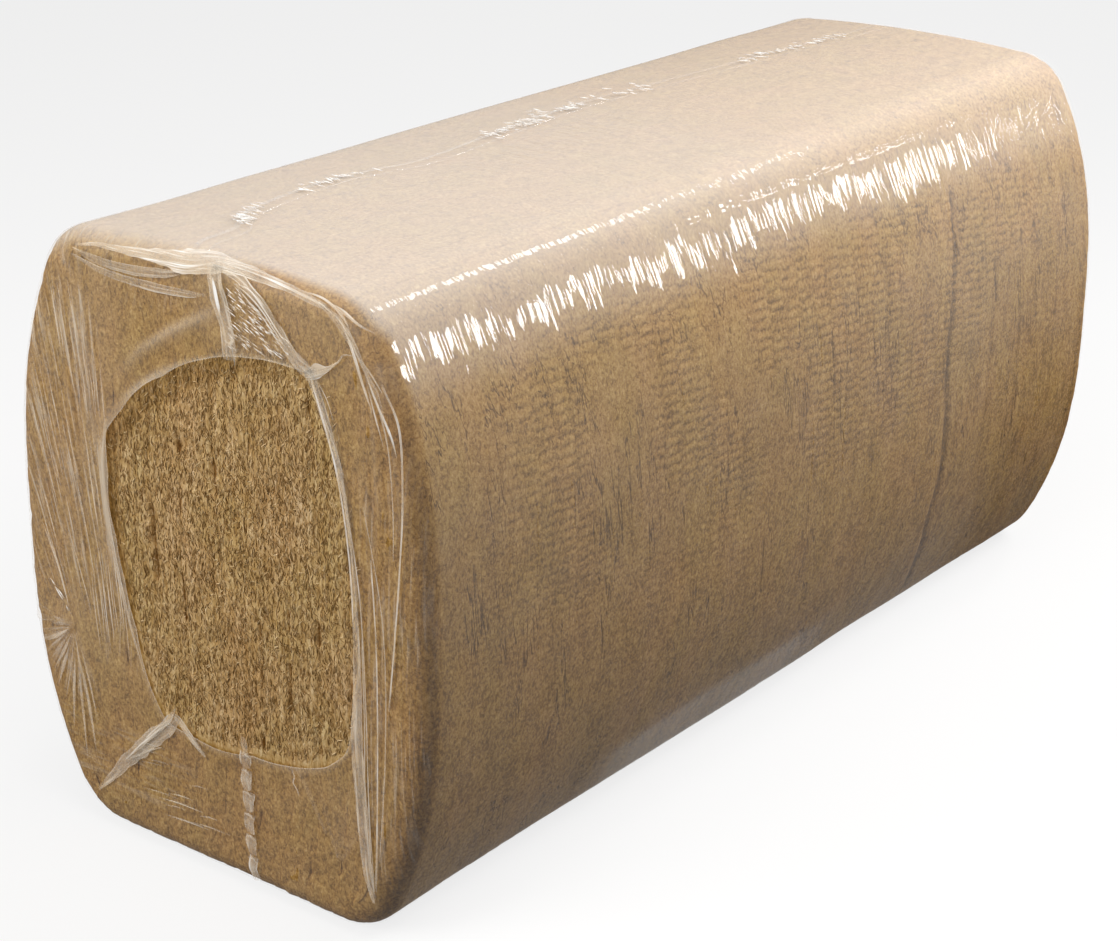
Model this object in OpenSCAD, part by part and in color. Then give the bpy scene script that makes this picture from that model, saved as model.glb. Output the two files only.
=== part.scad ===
// Pack of stone wool slabs. The slabs stand on their long edges, side by side, and are squeezed
// together by one clear film sleeve, which is shrunk around both ends and leaves an oval of bare
// wool there. X runs along the pack, Y across the slabs and Z up. The origin is the middle of the
// underside. Sizes are in millimetres.

/* [Slabs] */
// Number of slabs in the pack
slab_count = 12; // [6:1:16]
// Length of a slab, along the pack
slab_l = 1200; // [900:10:1500]
// Width of a slab, which stands upright in the pack
slab_h = 600; // [480:10:750]
// Pressed thickness of one slab at half height, where the pack is widest
mid_t = 42; // [36:0.5:52]
// Pressed thickness of one slab along the top and the underside, where the film is tightest
edge_t = 35; // [29:0.5:42]

/* [Pack shape] */
// Radius of the pack's four long edges
edge_r = 70; // [50:5:85]
// Radius of the rim around each end
end_r = 26; // [14:2:34]
// How much lower the top lies at its long edges than in the middle
crown = 5; // [0:1:12]
// Power of the sides' curve: 2 is evenly round, and more keeps the middle flatter
bulge_power = 2.9; // [2:0.1:4]

/* [Film] */
// Thickness of the film
film_t = 0.1; // [0.05:0.05:0.5]
// Width of film lapped over each end, on the -Y side of the opening
lap_front = 81; // [40:1:140]
// The same on the +Y side
lap_back = 127; // [40:1:160]
// The same above the opening
lap_top = 71; // [40:1:140]
// The same below it
lap_low = 133; // [40:1:200]
// Power of the opening's outline: 2 is an ellipse, and more is squarer
opening_power = 2.4; // [2:0.1:3]

/* [Hidden] */
function slab_name(i) = str("slab_", i < 10 ? "0" : "", i);

wool_colour = [0.62, 0.51, 0.36];
film_colour = [0.86, 0.80, 0.71, 0.45];

// Facets: steps up a side's curve, around half a long edge and around an end's rim
side_steps = 8;
corner_steps = 2;
rim_steps = 3;
// Share of a long edge's arc that counts as the side's, before the top's or the underside's
corner_share = 0.3;
// The outermost slabs take most of the rounding, and this power keeps the inner ones straight
pull_power = 5;

half_l = slab_l / 2;
half_w = slab_count * edge_t / 2;
bulge = slab_count * (mid_t - edge_t) / 2;

// The long edges are arcs about these heights, on a core that is edge_r inside the wool's surface
low_core_z = film_t + edge_r;
high_core_z = film_t + slab_h - crown - edge_r;
core_mid_z = (low_core_z + high_core_z) / 2;
core_half_h = (high_core_z - low_core_z) / 2;
core_half_w = half_w - edge_r;

function side_bulge(t) = bulge * (1 - pow(abs(t), bulge_power));
// Angle of the side's outward normal above the horizontal, at t from -1 (low) to 1 (high)
function side_angle(t) =
    sign(t) * atan(bulge * bulge_power * pow(abs(t), bulge_power - 1) / core_half_h);

// The +Y side, from the low corner to the high one, as [place t on the core, angle of the normal]
last_angle = side_angle(1);
corner_angles = [for (i = [1:corner_steps])
    last_angle + (90 - last_angle) * corner_share * i / corner_steps];
side_points = concat(
    [for (i = [corner_steps - 1:-1:0]) [-1, -corner_angles[i]]],
    [for (i = [0:side_steps]) let (t = 2 * i / side_steps - 1) [t, side_angle(t)]],
    [for (angle = corner_angles) [1, angle]]
);
rows = len(side_points) - 1;

// Below, inset is a distance in from the wool's surface, which is film_t negative on the film
function side_y(k, inset) = let (t = side_points[k][0])
    core_half_w + side_bulge(t) + (edge_r - inset) * cos(side_points[k][1]);
function side_z(k, inset) = let (t = side_points[k][0])
    core_mid_z + core_half_h * t + (edge_r - inset) * sin(side_points[k][1]);

// Share of the height at which row k lies, for the joints between slabs
row_share = [for (k = [0:rows])
    (side_z(k, 0) - side_z(0, 0)) / (side_z(rows, 0) - side_z(0, 0))];

// Drop of an arc of the given radius, at a distance past the core's edge
function arc_drop(radius, past) = past <= 0 ? 0 : radius - sqrt(radius * radius - past * past);
function top_z(y, inset) =
    film_t + slab_h - inset - arc_drop(edge_r - inset, abs(y) - core_half_w)
    - crown * pow(min(abs(y) / core_half_w, 1), 2);
function low_z(y, inset) = film_t + inset + arc_drop(edge_r - inset, abs(y) - core_half_w);

// Y in row k of the joint at u, from -1 to 1 across the pack. The sides' rounding pulls it in.
function joint_y(u, k, inset) =
    let (full = half_w + side_bulge(2 * row_share[k] - 1))
    u * full - sign(u) * pow(abs(u), pull_power) * (full - side_y(k, inset));

// [y, z] of the section's point in row k at u. The outermost points are the sides' own outline.
function section_point(u, k, inset) =
    let (low = low_z(joint_y(u, 0, inset), inset),
         top = top_z(joint_y(u, rows, inset), inset))
    [joint_y(u, k, inset),
     abs(u) == 1 ? side_z(k, inset) : low + (top - low) * row_share[k]];

// The point of the top (row `rows`) or the underside (row 0) halfway between u0 and u1
function halfway(u0, u1, k, inset) =
    let (y = (section_point(u0, k, inset)[0] + section_point(u1, k, inset)[0]) / 2)
    [y, k == 0 ? low_z(y, inset) : top_z(y, inset)];

function joint_u(i) = 2 * i / slab_count - 1;

// Loops of [y, z] points: up the -Y side, over the top, down the +Y side and back underneath.
// Across the top and the underside there is a point at each joint and one halfway.
function slab_loop(u0, u1, inset) = concat(
    [for (k = [0:rows]) section_point(u0, k, inset)],
    [halfway(u0, u1, rows, inset)],
    [for (k = [rows:-1:0]) section_point(u1, k, inset)],
    [halfway(u0, u1, 0, inset)]
);
function across(k, inset) = [for (i = [1:slab_count])
    each concat([halfway(joint_u(i - 1), joint_u(i), k, inset)],
                i < slab_count ? [section_point(joint_u(i), k, inset)] : [])];
function pack_loop(inset) = concat(
    [for (k = [0:rows]) section_point(-1, k, inset)],
    across(rows, inset),
    [for (k = [rows:-1:0]) section_point(1, k, inset)],
    reversed(across(0, inset))
);

// [x, inset] of each section along a skin that lies `out` outside the wool, from end to end
function stations(out) =
    let (rim = [for (i = [0:rim_steps]) let (a = 90 * i / rim_steps)
        [half_l - end_r + (end_r + out) * sin(a), end_r - (end_r + out) * cos(a)]])
    concat([for (s = reversed(rim)) [-s[0], s[1]]], rim);

function at_x(x, loop) = [for (p = loop) [x, p[0], p[1]]];
function reversed(list) = [for (i = [len(list) - 1:-1:0]) list[i]];

// Two triangles for the patch between loop points j and j + 1 of sections i and i + 1.
// turned takes the other diagonal, so that two pieces that meet share their triangles.
function patch(i, j, n, turned) =
    let (a = i * n + j, b = i * n + (j + 1) % n, c = (i + 1) * n + (j + 1) % n, d = (i + 1) * n + j)
    turned ? [[a, b, d], [b, c, d]] : [[a, b, c], [a, c, d]];
// The same faces seen from their other side, with their points numbered from start
function flipped(faces, start) = [for (f = faces) [for (v = reversed(f)) v + start]];

// Triangles that close a slab's end, laid like rungs between its two joints. The lowest and the
// highest rung share the point between the joints there.
function cap(start) =
    let (left = function (k) start + k,
         right = function (k) start + 2 * rows + 2 - k,
         top = start + rows + 1,
         low = start + 2 * rows + 3,
         m = rows - 1)
    concat(
        [for (k = [1:m - 1]) each [[left(k), left(k + 1), right(k + 1)],
                                   [left(k), right(k + 1), right(k)]]],
        [[left(0), left(1), low], [low, left(1), right(1)], [low, right(1), right(0)]],
        [[left(m), left(rows), top], [left(m), top, right(m)], [right(m), top, right(rows)]]);

module slab(i) {
    u0 = joint_u(i - 1);
    u1 = joint_u(i);
    places = stations(0);
    n = len(slab_loop(u0, u1, 0));
    last = (len(places) - 1) * n;
    // The joint with the next slab runs down this side's points and up the next slab's
    is_joint = function (j) i < slab_count && j > rows + 1 && j < 2 * rows + 2;
    color(wool_colour)
        polyhedron(
            points = [for (s = places) each at_x(s[0], slab_loop(u0, u1, s[1]))],
            faces = concat(
                flipped(cap(0), 0),
                [for (k = [0:len(places) - 2], j = [0:n - 1]) each patch(k, j, n, is_joint(j))],
                cap(last)));
}

// The opening's reach from the pack's middle plane, and from the floor
opening_y = [lap_front - half_w - bulge, half_w + bulge - lap_back];
opening_z = [film_t + lap_low, film_t + slab_h - lap_top];
opening_mid = [opening_y[0] + opening_y[1], opening_z[0] + opening_z[1]] / 2;
opening_half = [opening_y[1] - opening_y[0], opening_z[1] - opening_z[0]] / 2;

// The opening's outline, with a point in the direction of each point of the loop around it
function opening_loop(loop) = [for (p = loop)
    let (d = p - opening_mid,
         reach = pow(abs(d[0]) / opening_half[0], opening_power)
               + pow(abs(d[1]) / opening_half[1], opening_power))
    opening_mid + d / pow(reach, 1 / opening_power)];

// One skin of the film, from the opening at one end to the opening at the other
function skin(out) =
    let (rim = opening_loop(pack_loop(end_r)), x = half_l + out)
    concat(at_x(-x, rim), [for (s = stations(out)) each at_x(s[0], pack_loop(s[1]))], at_x(x, rim));

module film_sleeve() {
    outer = skin(film_t);
    inner = skin(0);
    n = len(pack_loop(0));
    sections = len(outer) / n;
    first_inner = len(outer);
    last = (sections - 1) * n;
    color(film_colour)
        polyhedron(
            points = concat(outer, inner),
            faces = [for (k = [0:sections - 2], j = [0:n - 1])
                         each concat(patch(k, j, n, false),
                                     flipped(patch(k, j, n, false), first_inner)),
                     for (j = [0:n - 1]) let (next = (j + 1) % n)
                         each [[first_inner + j, first_inner + next, next],
                               [first_inner + j, next, j],
                               [last + j, last + next, first_inner + last + next],
                               [last + j, first_inner + last + next, first_inner + last + j]]]);
}

for (i = [1:slab_count]) slab(i);
film_sleeve();
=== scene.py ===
"""Looks for the pack of mineral wool slabs: twelve slabs on edge in one clear shrink-film sleeve.

Metres, in the CAD's frame: X along the slabs, Y across the pack, Z up. The near end is the -X one.
"""
import math

import bpy
import numpy as np
from mathutils import Matrix, Vector
from mathutils.bvhtree import BVHTree


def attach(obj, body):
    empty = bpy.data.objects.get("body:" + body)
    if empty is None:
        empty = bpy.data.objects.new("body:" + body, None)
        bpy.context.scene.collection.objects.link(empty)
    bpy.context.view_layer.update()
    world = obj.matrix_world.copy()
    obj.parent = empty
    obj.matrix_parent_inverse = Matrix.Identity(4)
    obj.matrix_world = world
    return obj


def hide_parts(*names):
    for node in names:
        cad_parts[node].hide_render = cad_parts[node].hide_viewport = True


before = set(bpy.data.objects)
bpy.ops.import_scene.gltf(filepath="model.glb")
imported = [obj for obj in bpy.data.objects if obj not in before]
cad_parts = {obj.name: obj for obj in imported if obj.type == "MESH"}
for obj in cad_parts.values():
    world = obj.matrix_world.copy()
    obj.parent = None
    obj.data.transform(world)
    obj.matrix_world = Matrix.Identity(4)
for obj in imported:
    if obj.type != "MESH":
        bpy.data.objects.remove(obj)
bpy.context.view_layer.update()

# The sizes and the section of part.scad, in metres
SLABS = 12
HALF_L = 0.6
HEIGHT = 0.6
MID_T = 0.042
EDGE_T = 0.035
EDGE_R = 0.07
END_R = 0.026
CROWN = 0.005
BULGE_POWER = 2.9
FILM_T = 0.0001
CORNER_SHARE = 0.3
PULL_POWER = 5

HALF_W = SLABS * EDGE_T / 2
BULGE = SLABS * (MID_T - EDGE_T) / 2
LOW_CORE = FILM_T + EDGE_R
HIGH_CORE = FILM_T + HEIGHT - CROWN - EDGE_R
CORE_MID = (LOW_CORE + HIGH_CORE) / 2
CORE_HALF = (HIGH_CORE - LOW_CORE) / 2
CORE_W = HALF_W - EDGE_R
RIM_ARC = END_R * math.pi / 2
BODY_L = 2 * (HALF_L - END_R)
W_END = 2 * RIM_ARC + BODY_L
# Past this X an end's rim is rounded
RIM_X = HALF_L - END_R

# The wool's surface lies this much inside the CAD's, to leave room for the film over it
WOOL_INSET = 0.0004


# ---------------------------------------------------------------- noise

LATTICE = 48
TABLE = np.random.default_rng(11).random((LATTICE,) * 3)


def noise(points, cell, seed):
    """Smooth noise from 0 to 1 at points. cell is the size of its lumps along x, y and z."""
    place = points / np.asarray(cell, float) + seed * 7.31
    low = np.floor(place).astype(int)
    part = place - low
    part = part * part * (3 - 2 * part)
    low %= LATTICE
    high = (low + 1) % LATTICE
    total = 0
    for ix, wx in ((low[:, 0], 1 - part[:, 0]), (high[:, 0], part[:, 0])):
        for iy, wy in ((low[:, 1], 1 - part[:, 1]), (high[:, 1], part[:, 1])):
            for iz, wz in ((low[:, 2], 1 - part[:, 2]), (high[:, 2], part[:, 2])):
                total = total + TABLE[ix, iy, iz] * wx * wy * wz
    return total


def smooth(value, start, end):
    """0 at start and before it, 1 at end and past it, and a smooth step between them."""
    t = np.clip((value - start) / (end - start), 0, 1)
    return t * t * (3 - 2 * t)


def polyline_distance(a, b, points):
    """Distance from each (a, b) to a line of points, and the place along it from 0 to 1."""
    points = np.asarray(points, float)
    best = np.full(len(a), 9.0)
    place = np.zeros(len(a))
    for k in range(len(points) - 1):
        start, span = points[k], points[k + 1] - points[k]
        t = ((a - start[0]) * span[0] + (b - start[1]) * span[1]) / (span @ span)
        t = np.clip(t, 0, 1)
        d = np.hypot(a - start[0] - t * span[0], b - start[1] - t * span[1])
        closer = d < best
        best[closer] = d[closer]
        place[closer] = ((k + t) / (len(points) - 1))[closer]
    return best, place


# ---------------------------------------------------------------- section of the pack


def side_table():
    """For the +Y side from low to high: share of its height, place on the core, normal's angle."""
    t = np.linspace(-1, 1, 161)
    angle = np.sign(t) * np.arctan(BULGE * BULGE_POWER * np.abs(t) ** (BULGE_POWER - 1) / CORE_HALF)
    last = angle[-1]
    corner = last + (math.pi / 2 - last) * CORNER_SHARE * np.linspace(0, 1, 13)[1:]
    t = np.concatenate([-np.ones(12), t, np.ones(12)])
    angle = np.concatenate([-corner[::-1], angle, corner])
    z = CORE_MID + CORE_HALF * t + EDGE_R * np.sin(angle)
    return (z - z[0]) / (z[-1] - z[0]), t, angle


SHARES, CORE_PLACES, ANGLES = side_table()


def side(v, inset):
    """(y, z) of the +Y side at share v of its height, inset inside the wool's surface."""
    t = np.interp(v, SHARES, CORE_PLACES)
    angle = np.interp(v, SHARES, ANGLES)
    y = CORE_W + BULGE * (1 - np.abs(t) ** BULGE_POWER) + (EDGE_R - inset) * np.cos(angle)
    return y, CORE_MID + CORE_HALF * t + (EDGE_R - inset) * np.sin(angle)


def arc_drop(radius, past):
    past = np.maximum(past, 0)
    return radius - np.sqrt(np.maximum(radius**2 - past**2, 0))


def top_z(y, inset):
    drop = arc_drop(EDGE_R - inset, np.abs(y) - CORE_W)
    return FILM_T + HEIGHT - inset - drop - CROWN * np.minimum(np.abs(y) / CORE_W, 1) ** 2


def low_z(y, inset):
    return FILM_T + inset + arc_drop(EDGE_R - inset, np.abs(y) - CORE_W)


def across(u, v, inset):
    """Y of the line at u, from -1 to 1 across the pack, at share v of the height."""
    full = HALF_W + BULGE * (1 - np.abs(2 * v - 1) ** BULGE_POWER)
    return u * full - np.sign(u) * np.abs(u) ** PULL_POWER * (full - side(v, inset)[0])


def section(u, v, inset):
    """(y, z) of a point of the pack's section."""
    low = low_z(across(u, 0.0, inset), inset)
    top = top_z(across(u, 1.0, inset), inset)
    first, last = side(0.0, inset)[1], side(1.0, inset)[1]
    return across(u, v, inset), low + (top - low) * (side(v, inset)[1] - first) / (last - first)


def station(w, out):
    """(x, inset) at length w along a skin from the near end, `out` outside the wool's surface."""
    near = np.clip(w / RIM_ARC, 0, 1)
    far = np.clip((w - RIM_ARC - BODY_L) / RIM_ARC, 0, 1)
    turn = (1 - near + far) * math.pi / 2
    run = np.clip(w - RIM_ARC, 0, BODY_L)
    sign = np.where(w < RIM_ARC + BODY_L / 2, -1, 1)
    x = run - BODY_L / 2 + sign * (END_R + out) * np.sin(turn)
    return x, END_R - (END_R + out) * np.cos(turn)


def outline(place, inset):
    """(y, z) at places 0 to 4 round the section: up the -Y side, over, down +Y, underneath."""
    side_no = np.minimum(np.floor(place), 3)
    part = place - side_no
    u = np.select([side_no == 0, side_no == 1, side_no == 2], [-1, 2 * part - 1, 1], 1 - 2 * part)
    v = np.select([side_no == 0, side_no == 1, side_no == 2], [part, 1, 1 - part], 0)
    return section(u, v, inset)


def on_end(points, stand):
    """Where points (y, z) seen on the near end lie on it and its rounded rim, and its normals.

    They stand `stand` off the wool's surface.
    """
    edge = np.stack(outline(np.linspace(0, 4, 1601), 0.0), 1)
    points = np.asarray(points, float)
    apart = np.linalg.norm(points[:, None] - edge[None], axis=2)
    nearest = apart.argmin(1)
    inset = np.clip(apart[np.arange(len(points)), nearest], 1e-5, END_R)
    outward = edge[nearest] - points
    outward /= np.maximum(np.linalg.norm(outward, axis=1, keepdims=True), 1e-9)
    flat = (END_R - inset) / END_R
    turned = np.sqrt(1 - flat**2)
    normals = np.column_stack([-turned, outward * flat[:, None]])
    x = -(RIM_X + END_R * turned)
    return np.column_stack([x, points]) + stand * normals, normals


# ---------------------------------------------------------------- the openings in the film

# The near opening's outline as (y, z), from its upper left corner over the top
OPENING = [
    (0.118, 0.414), (0.097, 0.438), (0.037, 0.484), (-0.013, 0.510), (-0.066, 0.523),
    (-0.112, 0.526), (-0.136, 0.524), (-0.150, 0.490), (-0.163, 0.440), (-0.170, 0.385),
    (-0.175, 0.315), (-0.173, 0.240), (-0.162, 0.183), (-0.138, 0.162), (-0.096, 0.148),
    (-0.047, 0.142), (-0.003, 0.134), (0.029, 0.137), (0.061, 0.141), (0.079, 0.169),
    (0.094, 0.225), (0.106, 0.270), (0.114, 0.309), (0.120, 0.370),
]
OPENING_MID = (-0.028, 0.330)
# The far one is a plain rounded oval, as in part.scad
FAR_MID = (-0.023, 0.331)
FAR_HALF = (0.148, 0.198)
FAR_POWER = 2.4
# Where creases run together in a star, beside the near opening's lower left corner
STAR = (0.178, 0.204)


def opening_polar(y, z):
    dy, dz = y - OPENING_MID[0], z - OPENING_MID[1]
    return np.hypot(dy, dz), np.arctan2(dz, dy)


def opening_table():
    reach, angle = opening_polar(*np.array(OPENING).T)
    order = np.argsort(angle)
    return angle[order], reach[order]


OPENING_ANGLE, OPENING_REACH = opening_table()


def opening_radius(angle):
    return np.interp(angle, OPENING_ANGLE, OPENING_REACH, period=2 * math.pi)


def past_opening(y, z):
    """How far (y, z) lies outside the near opening's edge, measured from its middle."""
    reach, angle = opening_polar(y, z)
    return reach - opening_radius(angle)


def past_far_opening(y, z):
    a = np.abs(y - FAR_MID[0]) / FAR_HALF[0]
    b = np.abs(z - FAR_MID[1]) / FAR_HALF[1]
    return ((a**FAR_POWER + b**FAR_POWER) ** (1 / FAR_POWER) - 1) * FAR_HALF[0]


# ---------------------------------------------------------------- relief of the wool

# A crease down the -Y side's wool, as (x, z), and half its width
SIDE_CREASE = [(0.290, 0.500), (0.280, 0.455), (0.257, 0.340), (0.268, 0.201), (0.262, 0.139),
               (0.276, 0.071), (0.285, 0.040)]
CREASE_HALF = 0.003


def in_side_crease(points):
    """1 in the crease down the -Y side and 0 away from it."""
    x, y, z = points.T
    apart, _ = polyline_distance(x, z, SIDE_CREASE)
    return np.exp(-((apart / CREASE_HALF) ** 2)) * (y < -0.15)


def undulation(points):
    """Depth of the wool's broad hollows, which the film follows."""
    broad = noise(points, (0.11, 0.13, 0.12), 1)
    ripple = noise(points, (0.028, 0.09, 0.15), 2)
    at_end = smooth(np.abs(points[:, 0]), 0.57, 0.6)
    on_side = smooth(np.abs(points[:, 1]), 0.18, 0.215)
    return 0.003 * broad * (1 - 0.6 * at_end) + 0.0010 * ripple * on_side


# Spacing of the packing belt's print, along the pack and up it
PRINT_PITCH = 0.026
PRINT_ROW = 0.0095


def printed(points):
    """Where the packing belt's print shows on the sides' wool."""
    x, z = points[:, 0], points[:, 2]
    patchy = smooth(noise(points, (0.09, 0.5, 0.07), 18), 0.28, 0.60)
    there = smooth(z, 0.16, 0.36) * smooth(z, 0.555, 0.50)
    there = there * smooth(x, -0.56, -0.38) * smooth(x, 0.6, 0.35)
    return patchy * (0.12 + 0.88 * there) * smooth(np.abs(points[:, 1]), 0.205, 0.215)


def side_print(points):
    """The print's relief, in columns of short dashes: 1 between dashes and 0 on them."""
    x, z = points[:, 0], points[:, 2]
    column = x / PRINT_PITCH + 0.2 * np.sin(9 * z)
    number = np.floor(column)
    from_mid = np.abs(column - number - 0.5)
    row = z / PRINT_ROW + 0.62 * (number % 2) + 0.25 * np.sin(11 * x)
    from_row = np.abs(row - np.floor(row) - 0.5)
    gap = np.maximum(smooth(from_row, 0.24, 0.44), 0.8 * smooth(from_mid, 0.36, 0.48))
    return gap * printed(points)


def wool_depth(points):
    """How deep the wool's surface lies inside the CAD's."""
    at_end = smooth(np.abs(points[:, 0]), 0.575, 0.6)
    dent = smooth(noise(points, (0.009, 0.05, 0.035), 3), 0.66, 0.85)
    lump = noise(points, (0.008, 0.012, 0.012), 5)
    on_side = smooth(np.abs(points[:, 1]), 0.15, 0.215)
    body = (0.0004 * dent + 0.0004 * lump) * (0.1 + 0.9 * on_side) + 0.0007 * side_print(points)
    body += 0.002 * in_side_crease(points)
    streak = noise(points, (0.05, 0.0055, 0.030), 6)
    tuft = noise(points, (0.05, 0.0045, 0.009), 7)
    pit = smooth(noise(points, (0.05, 0.006, 0.018), 8), 0.62, 0.88)
    bare = 0.0008 * streak + 0.0014 * tuft + 0.0013 * pit
    return WOOL_INSET + undulation(points) + body * (1 - at_end) + bare * at_end


# ---------------------------------------------------------------- mesh tools


class Skin:
    """Points and faces of one mesh, made patch by patch."""

    def __init__(self):
        self.points = []
        self.faces = []
        self.count = 0

    def add(self, points):
        points = np.asarray(points, float).reshape(-1, 3)
        self.points.append(points)
        self.count += len(points)
        return np.arange(self.count - len(points), self.count)

    def quads(self, ids):
        """Faces between the rows of a 2D array of point numbers."""
        a, b, c, d = ids[:-1, :-1], ids[1:, :-1], ids[1:, 1:], ids[:-1, 1:]
        self.faces += np.stack([a, b, c, d], -1).reshape(-1, 4).tolist()

    def zip_rows(self, outer, outer_at, inner, inner_at):
        """Triangles between two rows of points that run side by side, by their places along."""
        i = j = 0
        outer, inner = [int(k) for k in outer], [int(k) for k in inner]
        while i < len(outer) - 1 or j < len(inner) - 1:
            step_outer = j == len(inner) - 1 or (
                i < len(outer) - 1 and outer_at[i + 1] + outer_at[i] <= inner_at[j + 1] + inner_at[j]
            )
            if step_outer:
                self.faces.append([outer[i], outer[i + 1], inner[j]])
                i += 1
            else:
                self.faces.append([outer[i], inner[j + 1], inner[j]])
                j += 1

    def mesh(self, name):
        points = np.concatenate(self.points)
        mesh = bpy.data.meshes.new(name)
        mesh.from_pydata(points.tolist(), [], self.faces)
        mesh.update()
        return mesh


def set_attribute(mesh, name, values):
    """Keep a number, or a vector of three, for each of the mesh's points."""
    values = np.asarray(values, np.float32)
    kind, key = ("FLOAT", "value") if values.ndim == 1 else ("FLOAT_VECTOR", "vector")
    mesh.attributes.new(name, kind, "POINT").data.foreach_set(key, values.ravel())


# Faces that meet at more than this angle are shaded apart
SHARP = math.radians(55)


def place_object(name, mesh, material):
    piece = bpy.data.objects.new(name, mesh)
    bpy.context.scene.collection.objects.link(piece)
    mesh.materials.append(material)
    mesh.polygons.foreach_set("use_smooth", np.ones(len(mesh.polygons), bool))
    mesh.set_sharp_from_angle(angle=SHARP)
    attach(piece, "root")
    return piece


# ---------------------------------------------------------------- slabs

# How far each joint between slabs strays in Y at the near end's mid height, and at the far end's
NEAR_STRAY = [0, 0, -0.002, -0.006, -0.012, -0.017, -0.009, -0.010, -0.015, -0.010, -0.005, 0, 0]
FAR_STRAY = [0, 0.002, 0.004, -0.003, 0.005, 0.008, 0.002, -0.006, 0.003, 0.006, -0.002, 0, 0]
# Half the width over which the wool sinks at a joint's edge
JOINT_HALF = 0.0022


def joint_stray(joint, x, v):
    if joint in (0, SLABS):
        return 0.0 * x
    near = NEAR_STRAY[joint] * smooth(-x, 0.3, 0.6)
    far = FAR_STRAY[joint] * smooth(x, 0.3, 0.6)
    where = np.stack([x, np.full_like(x, joint * 3.3), v * 0.6], 1)
    wander = 0.006 * (noise(where, (0.2, 1, 0.09), 9) - 0.5)
    return (near + far + wander) * np.clip(8 * v * (1 - v), 0, 1)


def joint_gape(joint, points):
    """1 where the joint gapes at an end, in short lengths here and there, and 0 where it is shut."""
    where = np.stack([points[:, 0], np.full(len(points), joint * 3.3), points[:, 2]], 1)
    x, y, z = points.T
    past = np.where(x < 0, past_opening(y, z), past_far_opening(y, z))
    bare = smooth(past, -0.002, -0.012) * smooth(np.abs(x), 0.59, 0.6)
    return bare * smooth(noise(where, (0.3, 1, 0.026), 16), 0.60, 0.78)


def slab_point(number, part, v, w):
    """Points of slab `number` (from 0), at `part` of its thickness, share v of height, length w."""
    u = -1 + 2 * (number + part) / SLABS
    x, inset = station(w, 0.0)
    y, z = section(u, v, inset)
    rest = np.stack([x, y, z], 1)
    depth = wool_depth(rest)
    turned = smooth(np.abs(x), RIM_X, HALF_L)
    ragged = noise(rest, (0.05, 0.02, 0.012), 10)
    shift = 0
    for joint, apart in ((number, part), (number + 1, 1 - part)):
        if joint in (0, SLABS):
            continue
        gape = joint_gape(joint, rest)
        at_joint = np.exp(-((apart * MID_T / JOINT_HALF) ** 2))
        depth = depth + (0.0002 + 0.006 * gape * ragged) * turned * at_joint
        gap = 0.0001 + 0.0008 * gape * ragged * turned
        shift = shift + (gap if joint == number else -gap) * (1 - apart)
    proud = 0.002 * (noise(rest * 0 + [number * 1.7, 0, 0.3], (1, 1, 1), 12) - 0.3) * turned
    depth = depth - proud * smooth(np.minimum(part, 1 - part) * MID_T, 0, 0.01)
    x, inset = station(w, -depth)
    y, z = section(u, v, inset)
    y = y + joint_stray(number, x, v) * (1 - part) + joint_stray(number + 1, x, v) * part
    return np.stack([x, y + shift, z], 1)


def spaced(count):
    return np.linspace(0, 1, count + 1)


def length_steps(near, body, far):
    """Lengths w along a slab, with so many steps round the near rim, along it and round the far."""
    body_at = RIM_ARC + BODY_L * spaced(body)[:-1]
    return np.concatenate([RIM_ARC * spaced(near)[:-1], body_at, W_END - RIM_ARC * spaced(far)[::-1]])


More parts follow.
